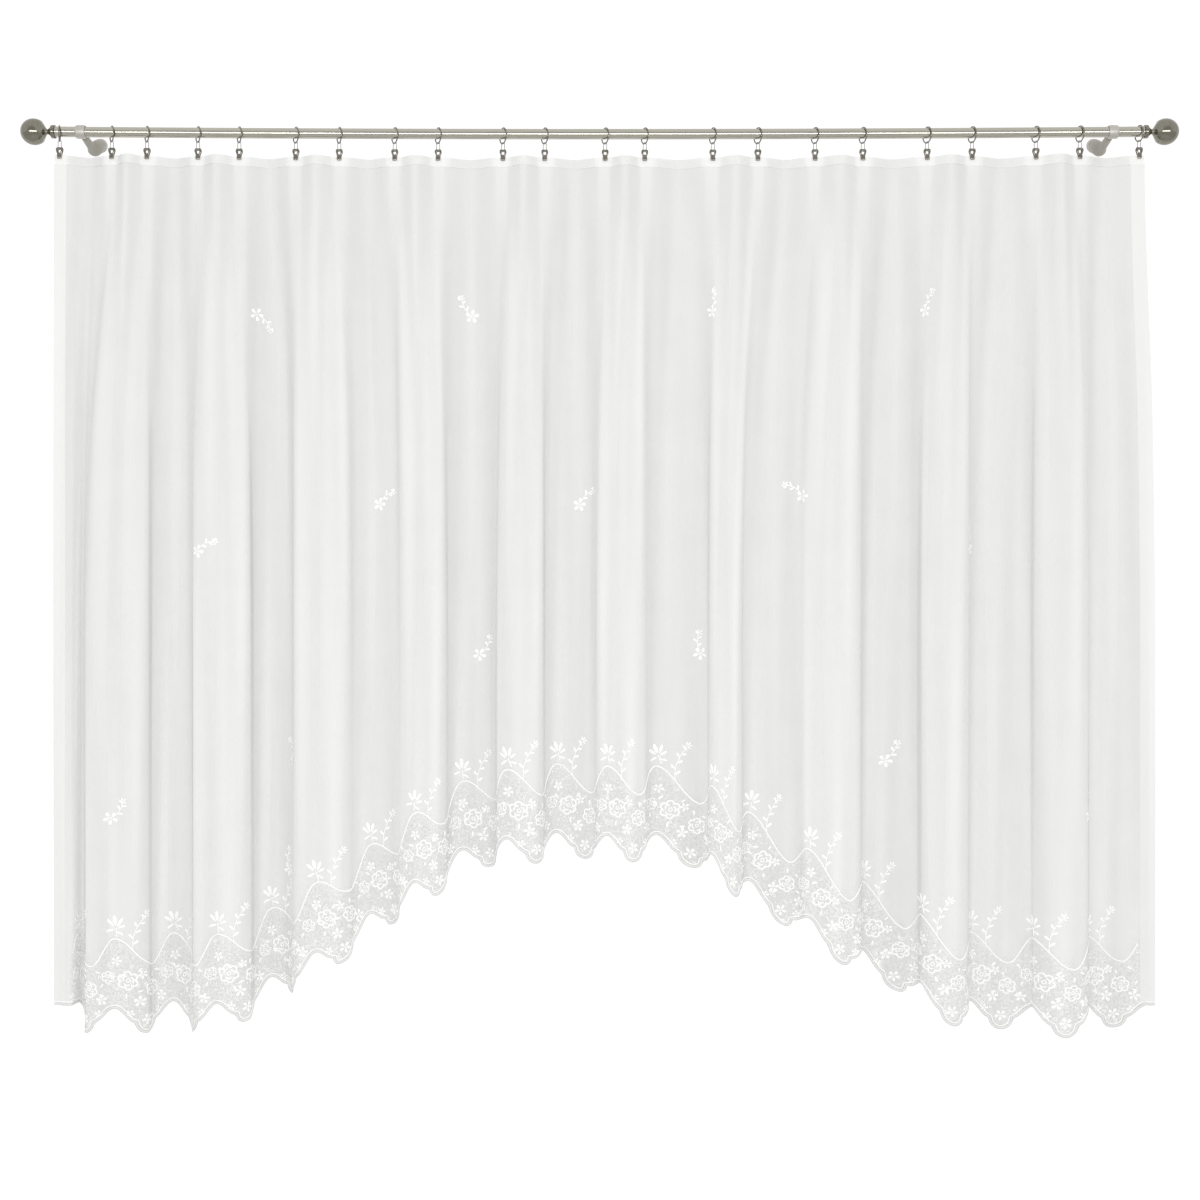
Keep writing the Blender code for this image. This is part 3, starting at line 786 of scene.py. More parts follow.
class Motif:
    """Gathers the closed, raised shapes of one embroidered motif."""

    def __init__(self, name):
        self.name = name
        self.points = []
        self.faces = []

    def filled(self, outline, height):
        """A satin-stitched area: thin at its outline and raised along its middle, on both sides."""
        first = len(self.points)
        count = len(outline)
        middle_x = sum(x for x, _ in outline) / count
        middle_y = sum(y for _, y in outline) / count
        self.points += [(x, y, 0.0) for x, y in outline]
        self.points += [(middle_x, middle_y, height), (middle_x, middle_y, -height)]
        for step in range(count):
            following = (step + 1) % count
            self.faces.append((first + step, first + following, first + count))
            self.faces.append((first + following, first + step, first + count + 1))

    def petal(self, x, y, turn, length, width, height=0.7 * MM, steps=8):
        """A leaf or petal whose root is at x, y and whose tip points along the turn."""
        outline = []
        for step in range(steps):
            angle = 2 * math.pi * step / steps
            along = length / 2 * (1 - math.cos(angle))
            across = width / 2 * math.sin(angle) * (1 - 0.25 * math.cos(angle))
            outline.append((x + along * math.cos(turn) - across * math.sin(turn),
                            y + along * math.sin(turn) + across * math.cos(turn)))
        self.filled(outline, height)

    def line(self, path, width, height=0.6 * MM, closed=False):
        """A raised line of four-cornered section along a path of (x, y) points."""
        first = len(self.points)
        count = len(path)
        for number, (x, y) in enumerate(path):
            before = path[number - 1] if number or closed else path[number]
            after = path[(number + 1) % count] if number < count - 1 or closed else path[number]
            run = math.atan2(after[1] - before[1], after[0] - before[0])
            side_x = -math.sin(run) * width / 2
            side_y = math.cos(run) * width / 2
            self.points += [(x + side_x, y + side_y, 0.0), (x, y, height),
                            (x - side_x, y - side_y, 0.0), (x, y, -height)]
        for number in range(count if closed else count - 1):
            here = first + 4 * number
            there = first + 4 * ((number + 1) % count)
            for corner in range(4):
                following = (corner + 1) % 4
                self.faces.append((here + corner, here + following, there + following, there + corner))
        if not closed:
            end = first + 4 * (count - 1)
            self.faces.append((first + 3, first + 2, first + 1, first))
            self.faces.append((end, end + 1, end + 2, end + 3))

    def bow(self, x, y, radius, angles, width, closed):
        path = [(x + radius * math.cos(angle), y + radius * math.sin(angle)) for angle in angles]
        self.line(path, width, closed=closed)

    def ring(self, x, y, radius, width, steps):
        angles = [2 * math.pi * step / steps for step in range(steps)]
        self.bow(x, y, radius, angles, width, closed=True)

    def arc(self, x, y, radius, start, finish, width, steps):
        angles = [start + (finish - start) * step / steps for step in range(steps + 1)]
        self.bow(x, y, radius, angles, width, closed=False)

    def helper(self):
        mesh = bpy.data.meshes.new(self.name)
        mesh.from_pydata(self.points, [], self.faces)
        solid = bmesh.new()
        solid.from_mesh(mesh)
        bmesh.ops.recalc_face_normals(solid, faces=solid.faces)
        solid.to_mesh(mesh)
        solid.free()
        thing = new_object(self.name, mesh)
        thing.hide_render = True
        return thing


def rose_motif():
    """An open rose: a ringed heart, a round of short petals and a waved outline."""
    rose = Motif("rose")
    rose.ring(0.5 * MM, 0, 2.6 * MM, 1.8 * MM, steps=6)
    for petal in range(3):
        angle = 2 * math.pi * petal / 3
        rose.arc(2.6 * MM * math.cos(angle), 2.6 * MM * math.sin(angle), 4.4 * MM,
                 angle - 1.0, angle + 1.2, 2.0 * MM, steps=4)
    for petal in range(6):
        angle = 2 * math.pi * petal / 6 + 0.4
        rose.arc(8.2 * MM * math.cos(angle), 8.2 * MM * math.sin(angle), 4.6 * MM,
                 angle - 1.9, angle + 1.5, 2.4 * MM, steps=5)
    return rose.helper()


def star_motif():
    """A small five-petalled flower with a ringed middle."""
    star = Motif("star_flower")
    star.ring(0, 0, 1.7 * MM, 1.4 * MM, steps=6)
    for petal in range(5):
        angle = 2 * math.pi * petal / 5 + 0.3
        star.petal(2.4 * MM * math.cos(angle), 2.4 * MM * math.sin(angle), angle, 8.5 * MM, 5.4 * MM)
    return star.helper()


# The bell flower's petals and the small leaves below them, in mm.
#   x, y, turn in degrees, length, width
BELL_PETALS = (
    (-0.5, 1.0, 94, 13, 4.6),
    (1.5, 0.0, 60, 12, 3.8),
    (-2.0, 0.0, 128, 12, 3.8),
    (2.0, -2.0, 22, 9, 3.2),
    (-1.5, -3.0, 196, 10, 3.0),
    (1.0, -6.0, -32, 8, 2.8),
)


def bell_motif():
    """A half-open flower on a short stalk: parted narrow petals over two small leaves."""
    bell = Motif("bell_flower")
    bell.line([(0.6 * MM, -12 * MM), (0.4 * MM, -6 * MM), (0, -1 * MM)], 1.6 * MM)
    for x, y, turn, length, width in BELL_PETALS:
        bell.petal(x * MM, y * MM, math.radians(turn), length * MM, width * MM)
    return bell.helper()


def leaf_motif():
    leaf = Motif("leaf")
    leaf.petal(0, 0, 0, 12 * MM, 4.6 * MM)
    return leaf.helper()


def eyelet_motif():
    eyelet = Motif("eyelet")
    eyelet.ring(0, 0, 2.3 * MM, 1.1 * MM, steps=7)
    return eyelet.helper()


def stitch_motif():
    stitch = Motif("stitch")
    stitch.petal(-2.4 * MM, 0, 0, 4.8 * MM, 1.1 * MM, height=0.3 * MM, steps=4)
    return stitch.helper()


# The embroidered border, laid out over each repeat of the scallops

REPEAT = SCALLOP_REPEAT * CLOTH_PER_RING
FIRST_NOTCH = SCALLOP_START * CLOTH_PER_RING
EDGE_STEPS = 14
VINE_STEPS = 28


def arch_line(x):
    """Height of the line on which the notches lie, at flat x."""
    return -float(arch_drop(np.array([x / CLOTH_PER_RING]))[0])


def edge_line(x):
    return -float(edge_drop(np.array([x / CLOTH_PER_RING]))[0])


def border_spot(repeat, share, height):
    """A flat point this share of the way along a repeat and this high above the notches' line."""
    x = FIRST_NOTCH + (repeat + share) * REPEAT
    return x, arch_line(x) + height


def between_hems(x):
    return CLOTH_LEFT + PLAIN_LEFT < x < CLOTH_RIGHT - PLAIN_RIGHT


def inside_cloth(x, y, inset):
    """Whether a spot has room on the cloth, clear of the side hems and of the lower edge."""
    return between_hems(x) and y > edge_line(x) + inset


def vine_line():
    points = []
    for repeat in range(-1, SCALLOP_COUNT + 1):
        for step in range(VINE_STEPS):
            share = step / VINE_STEPS
            x, y = border_spot(repeat, share, float(vine_height(share)))
            if between_hems(x):
                points.append((x, y))
    return points


def edge_outline():
    """The scalloped edge as a path from the left side to the right, close-set round each middle lobe."""
    points = [(CLOTH_LEFT, arch_line(CLOTH_LEFT))]
    centre_share = 0.5 - SIDE_LOBE_SHARE
    side_shares = [SIDE_LOBE_SHARE * step / EDGE_STEPS for step in range(EDGE_STEPS)]
    for repeat in range(SCALLOP_COUNT):
        for share in side_shares:
            points.append(border_spot(repeat, share, -float(side_lobe(share))))
        for step in range(EDGE_STEPS + 1):
            angle = math.pi * step / EDGE_STEPS
            depth = SIDE_LOBE_DEPTH + CENTRE_LOBE_DEPTH * math.sin(angle)
            points.append(border_spot(repeat, 0.5 - centre_share * math.cos(angle), -depth))
        for share in reversed(side_shares[1:]):
            points.append(border_spot(repeat, 1 - share, -float(side_lobe(share))))
    points.append(border_spot(SCALLOP_COUNT, 0.0, 0.0))
    points.append((CLOTH_RIGHT, arch_line(CLOTH_RIGHT)))
    return [point for point in points if CLOTH_LEFT <= point[0] <= CLOTH_RIGHT]


def edge_path(inset):
    """The scalloped edge moved into the cloth by this much, square to itself."""
    outline = edge_outline()
    path = []
    last = len(outline) - 1
    for at, (x, y) in enumerate(outline):
        before = outline[max(at - 1, 0)]
        after = outline[min(at + 1, last)]
        along_x, along_y = after[0] - before[0], after[1] - before[1]
        length = math.hypot(along_x, along_y)
        path.append((x - inset * along_y / length, y + inset * along_x / length))
    path[0] = (CLOTH_LEFT + 0.5 * MM, path[0][1])
    path[-1] = (CLOTH_RIGHT - 0.5 * MM, path[-1][1])
    return path


def twig(x, y, turn, bend, length, pairs, size):
    """A curved twig with leaves to both sides: its line, and the leaf spots along it."""
    line = []
    heading = turn
    for _ in range(TWIG_STEPS + 1):
        line.append((x, y))
        x += length / TWIG_STEPS * math.cos(heading)
        y += length / TWIG_STEPS * math.sin(heading)
        heading += bend / TWIG_STEPS
    spots = []
    for number in range(2 * pairs):
        step = round(TWIG_STEPS * (number + 1.4) / (2 * pairs + 1))
        at = line[min(step, TWIG_STEPS)]
        leaf_turn = turn + bend * step / TWIG_STEPS + TWIG_LEAF_TURNS[number % 2]
        spots.append((at[0], at[1], leaf_turn, size * (1.05 - 0.06 * number)))
    return line, spots


# What stands in each repeat.
#   share along the repeat, height above the notches in mm, turn, size
ROSES = (
    (0.20, 50, 0.2, 1.3),
    (0.60, 32, 1.1, 1.1),
    (0.90, 56, 2.0, 0.85),
)
STARS = (
    (0.38, 12, 0.0, 0.95),
    (0.50, -22, 0.6, 0.95),
    (0.80, 14, 1.3, 0.9),
    (0.42, 60, 0.3, 0.75),
    (0.03, 86, 2.0, 0.85),
    (0.24, -10, 1.0, 0.7),
    (0.76, -12, 1.4, 0.7),
)
BELLS = (
    (0.02, 148, 0.1, 1.5),
)
LEAVES_ROUND_ROSE = (0.6, 2.4, 4.6)
ROSE_TO_LEAF = 17 * MM
EYELETS_PER_REPEAT = 26
STITCHES_PER_REPEAT = 130
TWIG_STEPS = 12
TWIG_LEAF_TURNS = (-0.85, 0.95)
TWIG_AT = 0.28
TWIG_TURN = math.radians(96)
TWIG_BEND = -0.9
TWIG_LENGTH = 66 * MM
TWIG_ROOM_BELOW = 12 * MM
TWIG_ROOM_RIGHT = 40 * MM
SPRIG_LENGTH = 34 * MM
SPRIG_TO_FLOWER = 5 * MM
# Sprigs on the field.
#   place counted in rings, drop in mm, turn of the twig, its bend
SPRIGS = (
    (4.28, 288, -0.5, -0.9),
    (8.47, 284, 2.4, -0.8),
    (13.05, 276, 1.2, 0.7),
    (17.04, 276, 1.4, -0.6),
    (3.15, 715, 0.9, -1.0),
    (6.6, 628, 1.0, -0.9),
    (10.67, 628, 1.1, -0.8),
    (14.95, 613, 2.2, 0.9),
    (18.0, 710, 1.5, 0.5),
    (4.9, 1095, 1.5, 0.9),
    (8.65, 904, 0.7, 0.8),
    (12.83, 900, 1.9, -0.7),
    (16.5, 1100, 0.8, 0.6),
    (1.47, 1201, 0.6, 1.0),
    (4.75, 1297, 1.9, -0.9),
    (19.95, 1195, 1.1, 0.6),
)


def border_motifs(repeat, seeded, kinds):
    """Adds the spots of one repeat's roses, stars, bells and the leaves round its roses."""
    for table, spots in ((ROSES, kinds["roses"]), (STARS, kinds["stars"]), (BELLS, kinds["bells"])):
        for share, height, turn, size in table:
            x, y = border_spot(repeat, share, height * MM)
            turn += seeded.uniform(-0.25, 0.25)
            if inside_cloth(x, y, 9 * MM * size):
                spots.append((x, y, turn, size))
    for share, height, turn, size in ROSES:
        for side in LEAVES_ROUND_ROSE:
            x, y = border_spot(repeat, share, height * MM)
            angle = side + turn + seeded.uniform(-0.3, 0.3)
            x += ROSE_TO_LEAF * size * math.cos(angle)
            y += ROSE_TO_LEAF * size * math.sin(angle)
            if inside_cloth(x, y, 8 * MM):
                kinds["leaves"].append((x, y, angle, seeded.uniform(0.7, 0.95)))


def border_ground(repeat, seeded, kinds):
    """Adds the small eyelets and stitches that fill the net between the edge and the vine."""
    for wanted, spots, top, inset, low_size, high_size in (
            (EYELETS_PER_REPEAT, kinds["eyelets"], 9 * MM, 8 * MM, 0.7, 1.2),
            (STITCHES_PER_REPEAT, kinds["stitches"], 5 * MM, 6 * MM, 0.6, 1.2)):
        for _ in range(wanted):
            share = seeded.random()
            x, y = border_spot(repeat, share, float(vine_height(share)) - top)
            low = edge_line(x) + inset
            spot_y = low + (y - low) * seeded.random() ** 1.15
            if inside_cloth(x, spot_y, inset):
                spots.append((x, spot_y, seeded.uniform(0, 2 * math.pi),
                              seeded.uniform(low_size, high_size)))


def make_border():
    """Lays the whole embroidery out flat. Returns its flat meshes by name."""
    seeded = random.Random(11)
    kinds = {"roses": [], "stars": [], "bells": [], "leaves": [], "eyelets": [], "stitches": []}
    twigs = []
    for repeat in range(-1, SCALLOP_COUNT + 1):
        border_motifs(repeat, seeded, kinds)
        border_ground(repeat, seeded, kinds)
        x, y = border_spot(repeat, TWIG_AT, float(vine_height(TWIG_AT)))
        if inside_cloth(x, y, TWIG_ROOM_BELOW) and x < CLOTH_RIGHT - TWIG_ROOM_RIGHT:
            line, spots = twig(x, y, TWIG_TURN, TWIG_BEND, TWIG_LENGTH, pairs=3, size=0.95)
            twigs.append(line)
            kinds["leaves"] += spots
            kinds["bells"].append((line[-1][0], line[-1][1] + 2 * MM, -0.7, 0.7))
    for place, drop, turn, bend in SPRIGS:
        x = place * CLOTH_PER_RING
        y = -drop * MM
        line, spots = twig(x, y, turn, bend, SPRIG_LENGTH, pairs=2, size=0.8)
        twigs.append(line)
        kinds["leaves"] += spots
        kinds["stars"].append((x - SPRIG_TO_FLOWER * math.cos(turn), y - SPRIG_TO_FLOWER * math.sin(turn),
                               turn, 1.15))
        kinds["stars"].append((line[-1][0], line[-1][1], turn + 1, 0.6))
    motifs = (
        ("roses", kinds["roses"], rose_motif()),
        ("star_flowers", kinds["stars"], star_motif()),
        ("bell_flowers", kinds["bells"], bell_motif()),
        ("leaves", kinds["leaves"], leaf_motif()),
        ("eyelets", kinds["eyelets"], eyelet_motif()),
        ("ground_stitches", kinds["stitches"], stitch_motif()),
    )
    #   name, lines, width, height and step in mm, thread
    lines = (
        ("vine", [vine_line()], 3.4, 1.5, 3.0, STITCH),
        ("twigs", twigs, 2.0, 1.1, 3.0, STITCH),
        # The edging cord's grey is painted shade.
        ("scalloped_edging", [edge_path(2.4 * MM)], 4.8, 2.0, 2.2, EDGING_WITH_PAINTED_SHADE),
        ("inner_edging", [edge_path(6.4 * MM)], 2.6, 1.2, 2.5, STITCH),
    )
    meshes = {name: set_motifs(name, spots, motif) for name, spots, motif in motifs}
    for name, paths, width, height, step, thread in lines:
        meshes[name] = stitched_lines(name, paths, width * MM, height * MM, step * MM, thread)
    return meshes


def hang_border():
    pieces = []
    for name, mesh in make_border().items():
        hang_mesh(mesh)
        piece = new_object(name, mesh)
        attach(piece, "root")
        pieces.append(piece)
    return pieces


# Metal

WALL_PLATE_RADIUS = 14 * MM
WALL_PLATE_THICK = 5 * MM
WALL_PLATE_BEVEL = (3 * MM, 2.5 * MM)
CLAMP_RADIUS = 12.4 * MM
CLAMP_WIDTH = 18 * MM
CLAMP_BEVEL = (1.4 * MM, 3 * MM)
CLAMP_PLAY = 0.4 * MM
FINIAL_LENGTH = 63 * MM
FINIAL_BALL_RADIUS = 24 * MM
RING_INNER_RADIUS = 13.1 * MM
RING_WIRE_RADIUS = 1.2 * MM
RING_SEAT_GAP = 0.45 * MM
CLIP_TOP_BELOW_ROD = 28 * MM
CLIP_SHEET = 1.0 * MM
CLIP_SLOT = 3.2 * MM
CLIP_SET_BACK = 0.65 * MM
CLIP_WINDOW = (-9.5 * MM, -4.5 * MM)
PIN_HALF_LENGTH = 3.4 * MM
PIN_HEIGHT = -12.4 * MM
PIN_THICK = 1.8 * MM
LOOP_HALF_WIDTH = 2.85 * MM
LOOP_TOP = 13.0 * MM
LOOP_BENDS_AT = 4 * MM
LOOP_FOOT = -1.8 * MM
LOOP_WIRE = 1.1 * MM

# The finial's neck, cone and collar, in mm.
#   radius, distance from the rod's end
FINIAL_NECK = (
    (9.5, 19.0),
    (4.9, 15.6),
    (4.7, 14.0),
    (5.1, 12.5),
    (9.3, 8.1),
    (10.6, 7.0),
    (12.0, 6.6),
    (12.2, 6.0),
    (12.2, 0.7),
    (11.5, 0.0),
    (0.0, 0.0),
)
# The bracket arm's centre line from the wall plate to the clamp, in mm.
#   distance out from the wall, height, radius
ARM_STATIONS = (
    (5.3, -3, 9.5),
    (8, -3, 11.8),
    (14, -4, 13.0),
    (24, -9, 13.4),
    (34, -14, 13.2),
    (41, -16, 11.0),
    (46, -16, 7.7),
    (54, -14, 7.1),
    (68, -10, 7.0),
    (84, -6, 6.6),
    (97.4, -2.9, 6.3),
)
# The clip's front, from its rounded top to the foot of its jaw, in mm.
#   height, half width, swell
CLIP_ROWS = (
    (-2.0, 5.9, 0.2),
    (-4.0, 6.4, 0.5),
    (-6.0, 6.2, 0.6),
    (-8.0, 5.7, 0.6),
    (-10.0, 4.9, 0.4),
    (-12.0, 4.3, 0.2),
    (-14.5, 4.1, 0.1),
    (-17.5, 4.2, 0.1),
    (-21.0, 4.2, 0.0),
)
CLIP_COLUMNS = (-1.0, -0.42, 0.0, 0.42, 1.0)


def add_metal(name, mesh, finish, slot, *nodes):
    """A finished metal piece that stands for these nodes of the frame."""
    piece = new_object(name, mesh, finish)
    mesh.shade_smooth()
    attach(piece, "root")
    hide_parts(*nodes)
    return piece


def place_mesh(mesh, turn, spot):
    """Turns a mesh about the Y or X axis and moves it to its spot. turn is (axis, radians)."""
    axis, angle = turn
    points = mesh_points(mesh)
    cos, sin = math.cos(angle), math.sin(angle)
    if axis == "Y":
        turned = np.stack([points[:, 0] * cos + points[:, 2] * sin, points[:, 1],
                           -points[:, 0] * sin + points[:, 2] * cos], axis=1)
    else:
        turned = np.stack([points[:, 0], points[:, 1] * cos - points[:, 2] * sin,
                           points[:, 1] * sin + points[:, 2] * cos], axis=1)
    mesh.vertices.foreach_set("co", (turned + np.array(spot)).ravel())
    mesh.update()


def rounded(profile, ease):
    """The open profile with each inner corner eased into three points."""
    eased = [profile[0]]
    for before, corner, after in zip(profile, profile[1:], profile[2:]):
        into = math.dist(before, corner)
        out = math.dist(corner, after)
        near = min(ease, into * 0.45)
        far = min(ease, out * 0.45)
        start = tuple(c + (b - c) * near / into for b, c in zip(before, corner))
        finish = tuple(c + (a - c) * far / out for a, c in zip(after, corner))
        middle = tuple(0.25 * s + 0.5 * c + 0.25 * f for s, c, f in zip(start, corner, finish))
        eased += [start, middle, finish]
    return eased + [profile[-1]]


def make_rod():
    steps = 40
    xs = [ROD_LEFT_END + (ROD_RIGHT_END - ROD_LEFT_END) * step / steps for step in range(steps + 1)]
    line = [(x, -ROD_OUT, rod_height(x)) for x in xs]
    mesh = swept_lines("rod_tube", [line], 2 * ROD_RADIUS, 2 * ROD_RADIUS, 0.05, 48, NICKEL)
    add_metal("rod_tube", mesh, NICKEL, "satin_nickel", "rod")


def make_finials():
    radius = FINIAL_BALL_RADIUS
    centre = FINIAL_LENGTH - radius
    profile = [(0.0, FINIAL_LENGTH)]
    for degrees in range(7, 127, 7):
        angle = math.radians(degrees)
        profile.append((radius * math.sin(angle), centre + radius * math.cos(angle)))
    profile += [(r * MM, z * MM) for r, z in FINIAL_NECK]
    for side, sign, end in (("left", -1, ROD_LEFT_END), ("right", 1, ROD_RIGHT_END)):
        mesh = turned_mesh("finial_ball_" + side, profile, 56)
        place_mesh(mesh, ("Y", sign * math.pi / 2), (end + sign * GAP, -ROD_OUT, rod_height(end)))
        add_metal("finial_ball_" + side, mesh, BRIGHT_NICKEL, "satin_nickel", "finial_" + side)


def make_brackets():
    thick = WALL_PLATE_THICK
    radius = WALL_PLATE_RADIUS
    inward, down = WALL_PLATE_BEVEL
    plate = rounded([(0.0, thick), (radius - inward, thick), (radius, thick - down), (radius, 0.0),
                     (0.0, 0.0)], 1.5 * MM)
    bore = ROD_RADIUS + CLAMP_PLAY
    half = CLAMP_WIDTH / 2
    inward, along = CLAMP_BEVEL
    clamp = rounded([(bore, 0.0), (bore, half), (CLAMP_RADIUS - inward, half), (CLAMP_RADIUS, half - along),
                     (CLAMP_RADIUS, along - half), (CLAMP_RADIUS - inward, -half), (bore, -half),
                     (bore, 0.0)], 0.8 * MM)
    for side, x in (("left", 0.0), ("right", BRACKET_SPAN)):
        mesh = turned_mesh("wall_disc_" + side, plate, 40)
        place_mesh(mesh, ("X", math.pi / 2), (x, 0, 0))
        add_metal("wall_disc_" + side, mesh, PALE_NICKEL, "matt_nickel", "wall_plate_" + side)
        mesh = turned_mesh("clamp_ring_" + side, clamp, 48)
        place_mesh(mesh, ("Y", math.pi / 2), (x, -ROD_OUT, 0))
        add_metal("clamp_ring_" + side, mesh, PALE_NICKEL, "matt_nickel", "rod_clamp_" + side)
        line = [(x, -out * MM, height * MM) for out, height, _ in ARM_STATIONS]
        path = new_curve("arm_" + side, [line])
        path.bevel_depth = 1.0
        path.bevel_resolution = 10
        path.use_fill_caps = True
        for point, station in zip(path.splines[0].points, ARM_STATIONS):
            point.radius = station[2] * MM
        mesh = mended(evaluated_mesh("arm_" + side, new_object("arm_" + side, path)))
        add_metal("arm_" + side, mesh, MATT_NICKEL, "matt_nickel", "bracket_arm_" + side)


def ring_drop(turn):
    """How far a ring's centre hangs below the rod's axis when the ring is turned about the vertical."""
    circle = RING_INNER_RADIUS + RING_WIRE_RADIUS
    clear = ROD_RADIUS + RING_WIRE_RADIUS + RING_SEAT_GAP
    on_top = circle - clear
    if on_top >= circle * math.sin(turn) ** 2:
        return on_top
    return math.tan(turn) * math.sqrt((circle * math.cos(turn)) ** 2 - clear**2)


def ring_pattern():
    """One ring, standing across the rod."""
    circle = RING_INNER_RADIUS + RING_WIRE_RADIUS
    sides = 10
    angles = [2 * math.pi * side / sides for side in range(sides)]
    wire = [(circle + RING_WIRE_RADIUS * math.cos(angle), RING_WIRE_RADIUS * math.sin(angle))
            for angle in angles]
    turned = turned_mesh("one_ring", wire, 40, closed=True)
    place_mesh(turned, ("Y", math.pi / 2), (0, 0, 0))
    pattern = new_object("one_ring", turned)
    pattern.hide_render = True
    return pattern


def clip_strip():
    """The clip's strip: up the front jaw, over its top and down the back, with a window in its front."""
    slot = CLIP_SLOT / 2 + CLIP_SHEET / 2
    path = []
    for height, half, swell in reversed(CLIP_ROWS):
        path.append((-slot - swell * MM, height * MM, half * MM))
    for step in range(1, 6):
        angle = math.pi * step / 6
        path.append((-slot * math.cos(angle), -1.3 * MM + 0.8 * MM * math.sin(angle), 5.4 * MM))
    for height, half, swell in CLIP_ROWS:
        path.append((slot + swell * MM, height * MM, half * MM))
    strip = bmesh.new()
    rows = [[strip.verts.new((across * half, y, z)) for across in CLIP_COLUMNS] for y, z, half in path]
    for lower, upper in zip(rows, rows[1:]):
        for column in range(len(CLIP_COLUMNS) - 1):
            corners = (lower[column], lower[column + 1], upper[column + 1], upper[column])
            middle = sum(corner.co.z for corner in corners) / 4
            if column in (1, 2) and CLIP_WINDOW[0] < middle < CLIP_WINDOW[1]:
                continue
            strip.faces.new(corners)
    mesh = bpy.data.meshes.new("clip_strip")
    strip.to_mesh(mesh)
    strip.free()
    helper = new_object("clip_strip", mesh)
    sheet = helper.modifiers.new("sheet", "SOLIDIFY")
    sheet.thickness = CLIP_SHEET
    sheet.offset = 0.0
    soft = helper.modifiers.new("soft", "SUBSURF")
    soft.levels = 1
    soft.render_levels = 1
    return evaluated_mesh("clip_strip", helper)


def clip_pattern():
    """One clip: the strip, the pin across its jaws and the wire loop that hangs on the ring."""
    half = LOOP_HALF_WIDTH
    line = [(-half, 0, LOOP_FOOT), (-half, 0, LOOP_BENDS_AT)]
    for step in range(13):
        angle = math.pi * (1 - step / 12)
        line.append((half * math.cos(angle), 0, LOOP_TOP - half + half * math.sin(angle)))
    line += [(half, 0, LOOP_BENDS_AT), (half, 0, LOOP_FOOT)]
    loop = swept_lines("clip_loop", [line], LOOP_WIRE, LOOP_WIRE, 1.1 * MM, 8, SMALL_NICKEL)
    pin = [(-PIN_HALF_LENGTH, 0, PIN_HEIGHT), (PIN_HALF_LENGTH, 0, PIN_HEIGHT)]
    rivet = swept_lines("clip_pin", [pin], PIN_THICK, PIN_THICK, 1.0 * MM, 8, SMALL_NICKEL)
    joined = bmesh.new()
    for mesh in (clip_strip(), loop, rivet):
        joined.from_mesh(mesh)
    mesh = bpy.data.meshes.new("one_clip")
    joined.to_mesh(mesh)
    joined.free()
    pattern = new_object("one_clip", mended(mesh))
    pattern.hide_render = True
    return pattern


def make_rings_and_clips():
    rings = []
    clips = []
    for x, turn in zip(RING_X, RING_TURN):
        rings.append((x, -ROD_OUT, rod_height(x) - ring_drop(turn), turn, 1.0))
        height = rod_height(x) - ring_drop(turn) + ring_drop(0) - CLIP_TOP_BELOW_ROD
        clips.append((x, -ROD_OUT + CLIP_SET_BACK, height, 0.0, 1.0))
    numbers = range(1, len(RINGS) + 1)
    mesh = set_pieces("rings", rings, ring_pattern(), SMALL_NICKEL)
    add_metal("rings", mesh, SMALL_NICKEL, "satin_nickel", *[f"ring_{number:02d}" for number in numbers])
    mesh = set_pieces("clips", clips, clip_pattern(), SMALL_NICKEL)
    add_metal("clips", mesh, SMALL_NICKEL, "satin_nickel", *[f"clip_{number:02d}" for number in numbers])


make_rod()
make_finials()
make_brackets()
make_rings_and_clips()

net = make_net()
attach(net, "root")
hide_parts("net_panel")
tape = make_tape()
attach(tape, "root")
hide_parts("heading_tape")
embroidery = hang_border()


# Studio

PHOTO_PIXEL = 1.82 * MM
PHOTO_WIDE = 1200
CAMERA_AWAY = 2.8
HORIZON_ROW = 508
ROD_ROW = 132
ORIGIN_COLUMN = 81
SENSOR_WIDE = 36
STRIP_X = 0.95
STRIP_AWAY = 3.2
STRIP_HEIGHT = -0.35
WORLD_STRENGTH = 1.06
# The world is a little darker straight behind the camera, which shapes the metal's reflections.
WORLD_DIM_FROM = -0.66
WORLD_DIM_TO = -0.94
WORLD_DIM = 0.6
FLOOR_HEIGHT = -2.35
FLOOR_HALF = 30.0
# A painted glow on the floor, which brings its far part to the brightness of the world above it.
FLOOR_PAINTED_GLOW = 0.038


def make_camera():
    lens = bpy.data.cameras.new("camera")
    camera = bpy.data.objects.new("camera", lens)
    bpy.context.scene.collection.objects.link(camera)
    camera.location = ((PHOTO_WIDE / 2 - ORIGIN_COLUMN) * PHOTO_PIXEL, -ROD_OUT - CAMERA_AWAY,
                       -(HORIZON_ROW - ROD_ROW) * PHOTO_PIXEL)
    camera.rotation_euler = (math.pi / 2, 0, 0)
    lens.sensor_width = SENSOR_WIDE
    lens.lens = SENSOR_WIDE * CAMERA_AWAY / (PHOTO_WIDE * PHOTO_PIXEL)
    lens.shift_y = -(PHOTO_WIDE / 2 - HORIZON_ROW) / PHOTO_WIDE
    bpy.context.scene.camera = camera


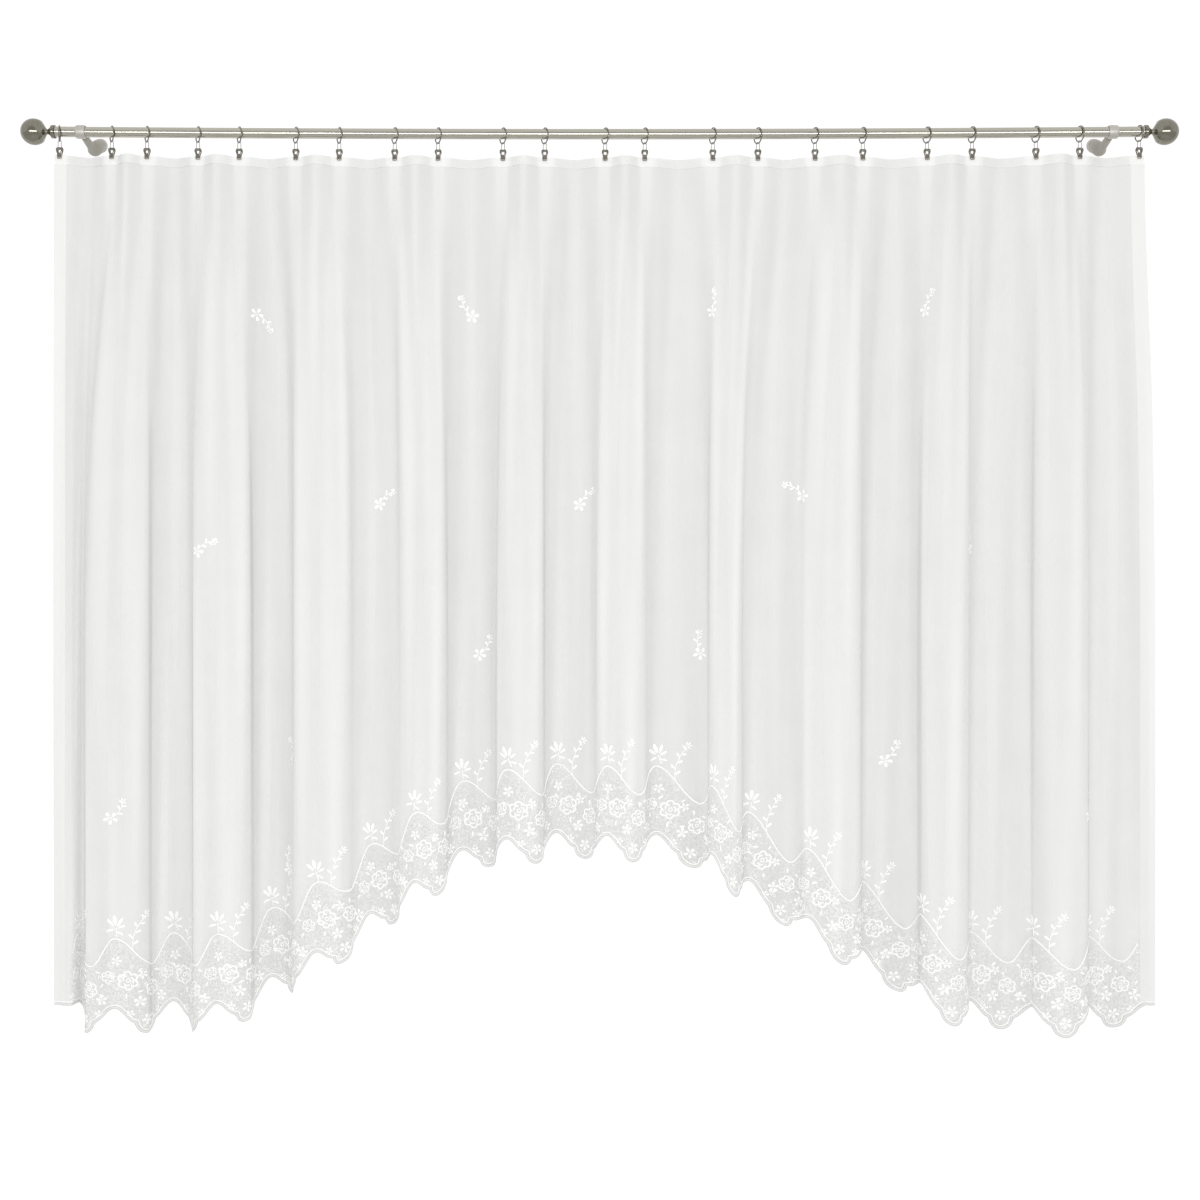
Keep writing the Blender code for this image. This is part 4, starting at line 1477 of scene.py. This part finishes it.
def soft_light(name, place, target, width, height, power):
    data = bpy.data.lights.new(name, "AREA")
    data.shape = "RECTANGLE"
    data.size = width
    data.size_y = height
    data.energy = power
    light = bpy.data.objects.new(name, data)
    bpy.context.scene.collection.objects.link(light)
    light.location = place
    aim = [t - p for t, p in zip(target, place)]
    light.rotation_euler = (math.atan2(math.hypot(aim[0], aim[1]), -aim[2]), 0,
                            math.atan2(aim[1], aim[0]) - math.pi / 2)


def floor_finish():
    """Pale: near white behind the curtain, as painted light, a soft pale grey towards the front, and a
    faint painted glow all over.
    """
    make = Finish("pale_floor")
    where = make.add("ShaderNodeTexCoord")
    parts = make.add("ShaderNodeSeparateXYZ", {"Vector": where.outputs["Object"]})
    # Painted light: the floor turns near white behind the curtain.
    back = make.ranged(parts.outputs["Y"], {"From Min": -0.2, "From Max": 0.85},
                       interpolation_type="SMOOTHSTEP")
    colour = make.mixed(back, (0.66, 0.66, 0.65, 1), (0.99, 0.99, 0.99, 1))
    # Painted glow: the floor gives off a faint light of its own.
    make.shade(Base_Color=colour, Roughness=1.0, Specular_IOR_Level=0.0,
               Emission_Color=(1.0, 1.0, 1.0, 1.0), Emission_Strength=FLOOR_PAINTED_GLOW)
    return make.material


def make_studio():
    bpy.context.scene.view_settings.view_transform = "Standard"
    world = bpy.data.worlds.new("pale_studio")
    world.use_nodes = True
    make = Nodes(world.node_tree)
    where = make.add("ShaderNodeTexCoord")
    parts = make.add("ShaderNodeSeparateXYZ", {"Vector": where.outputs["Generated"]})
    dimmed = make.ranged(parts.outputs["Y"], {"From Min": WORLD_DIM_FROM, "From Max": WORLD_DIM_TO,
                                              "To Min": 1.0, "To Max": WORLD_DIM},
                         interpolation_type="SMOOTHSTEP")
    ground = world.node_tree.nodes["Background"]
    make.feed(ground, "Color", dimmed)
    make.feed(ground, "Strength", WORLD_STRENGTH)
    bpy.context.scene.world = world
    soft_light("front_strip", (STRIP_X, -STRIP_AWAY, STRIP_HEIGHT), (STRIP_X, 0.0, STRIP_HEIGHT),
               width=4.4, height=0.4, power=50)
    floor = bpy.data.meshes.new("floor")
    corners = ((-1, -1), (1, -1), (1, 1), (-1, 1))
    floor.from_pydata([(x * FLOOR_HALF, y * FLOOR_HALF, FLOOR_HEIGHT) for x, y in corners], [],
                      [(0, 1, 2, 3)])
    new_object("floor", floor, floor_finish())


make_camera()
make_studio()
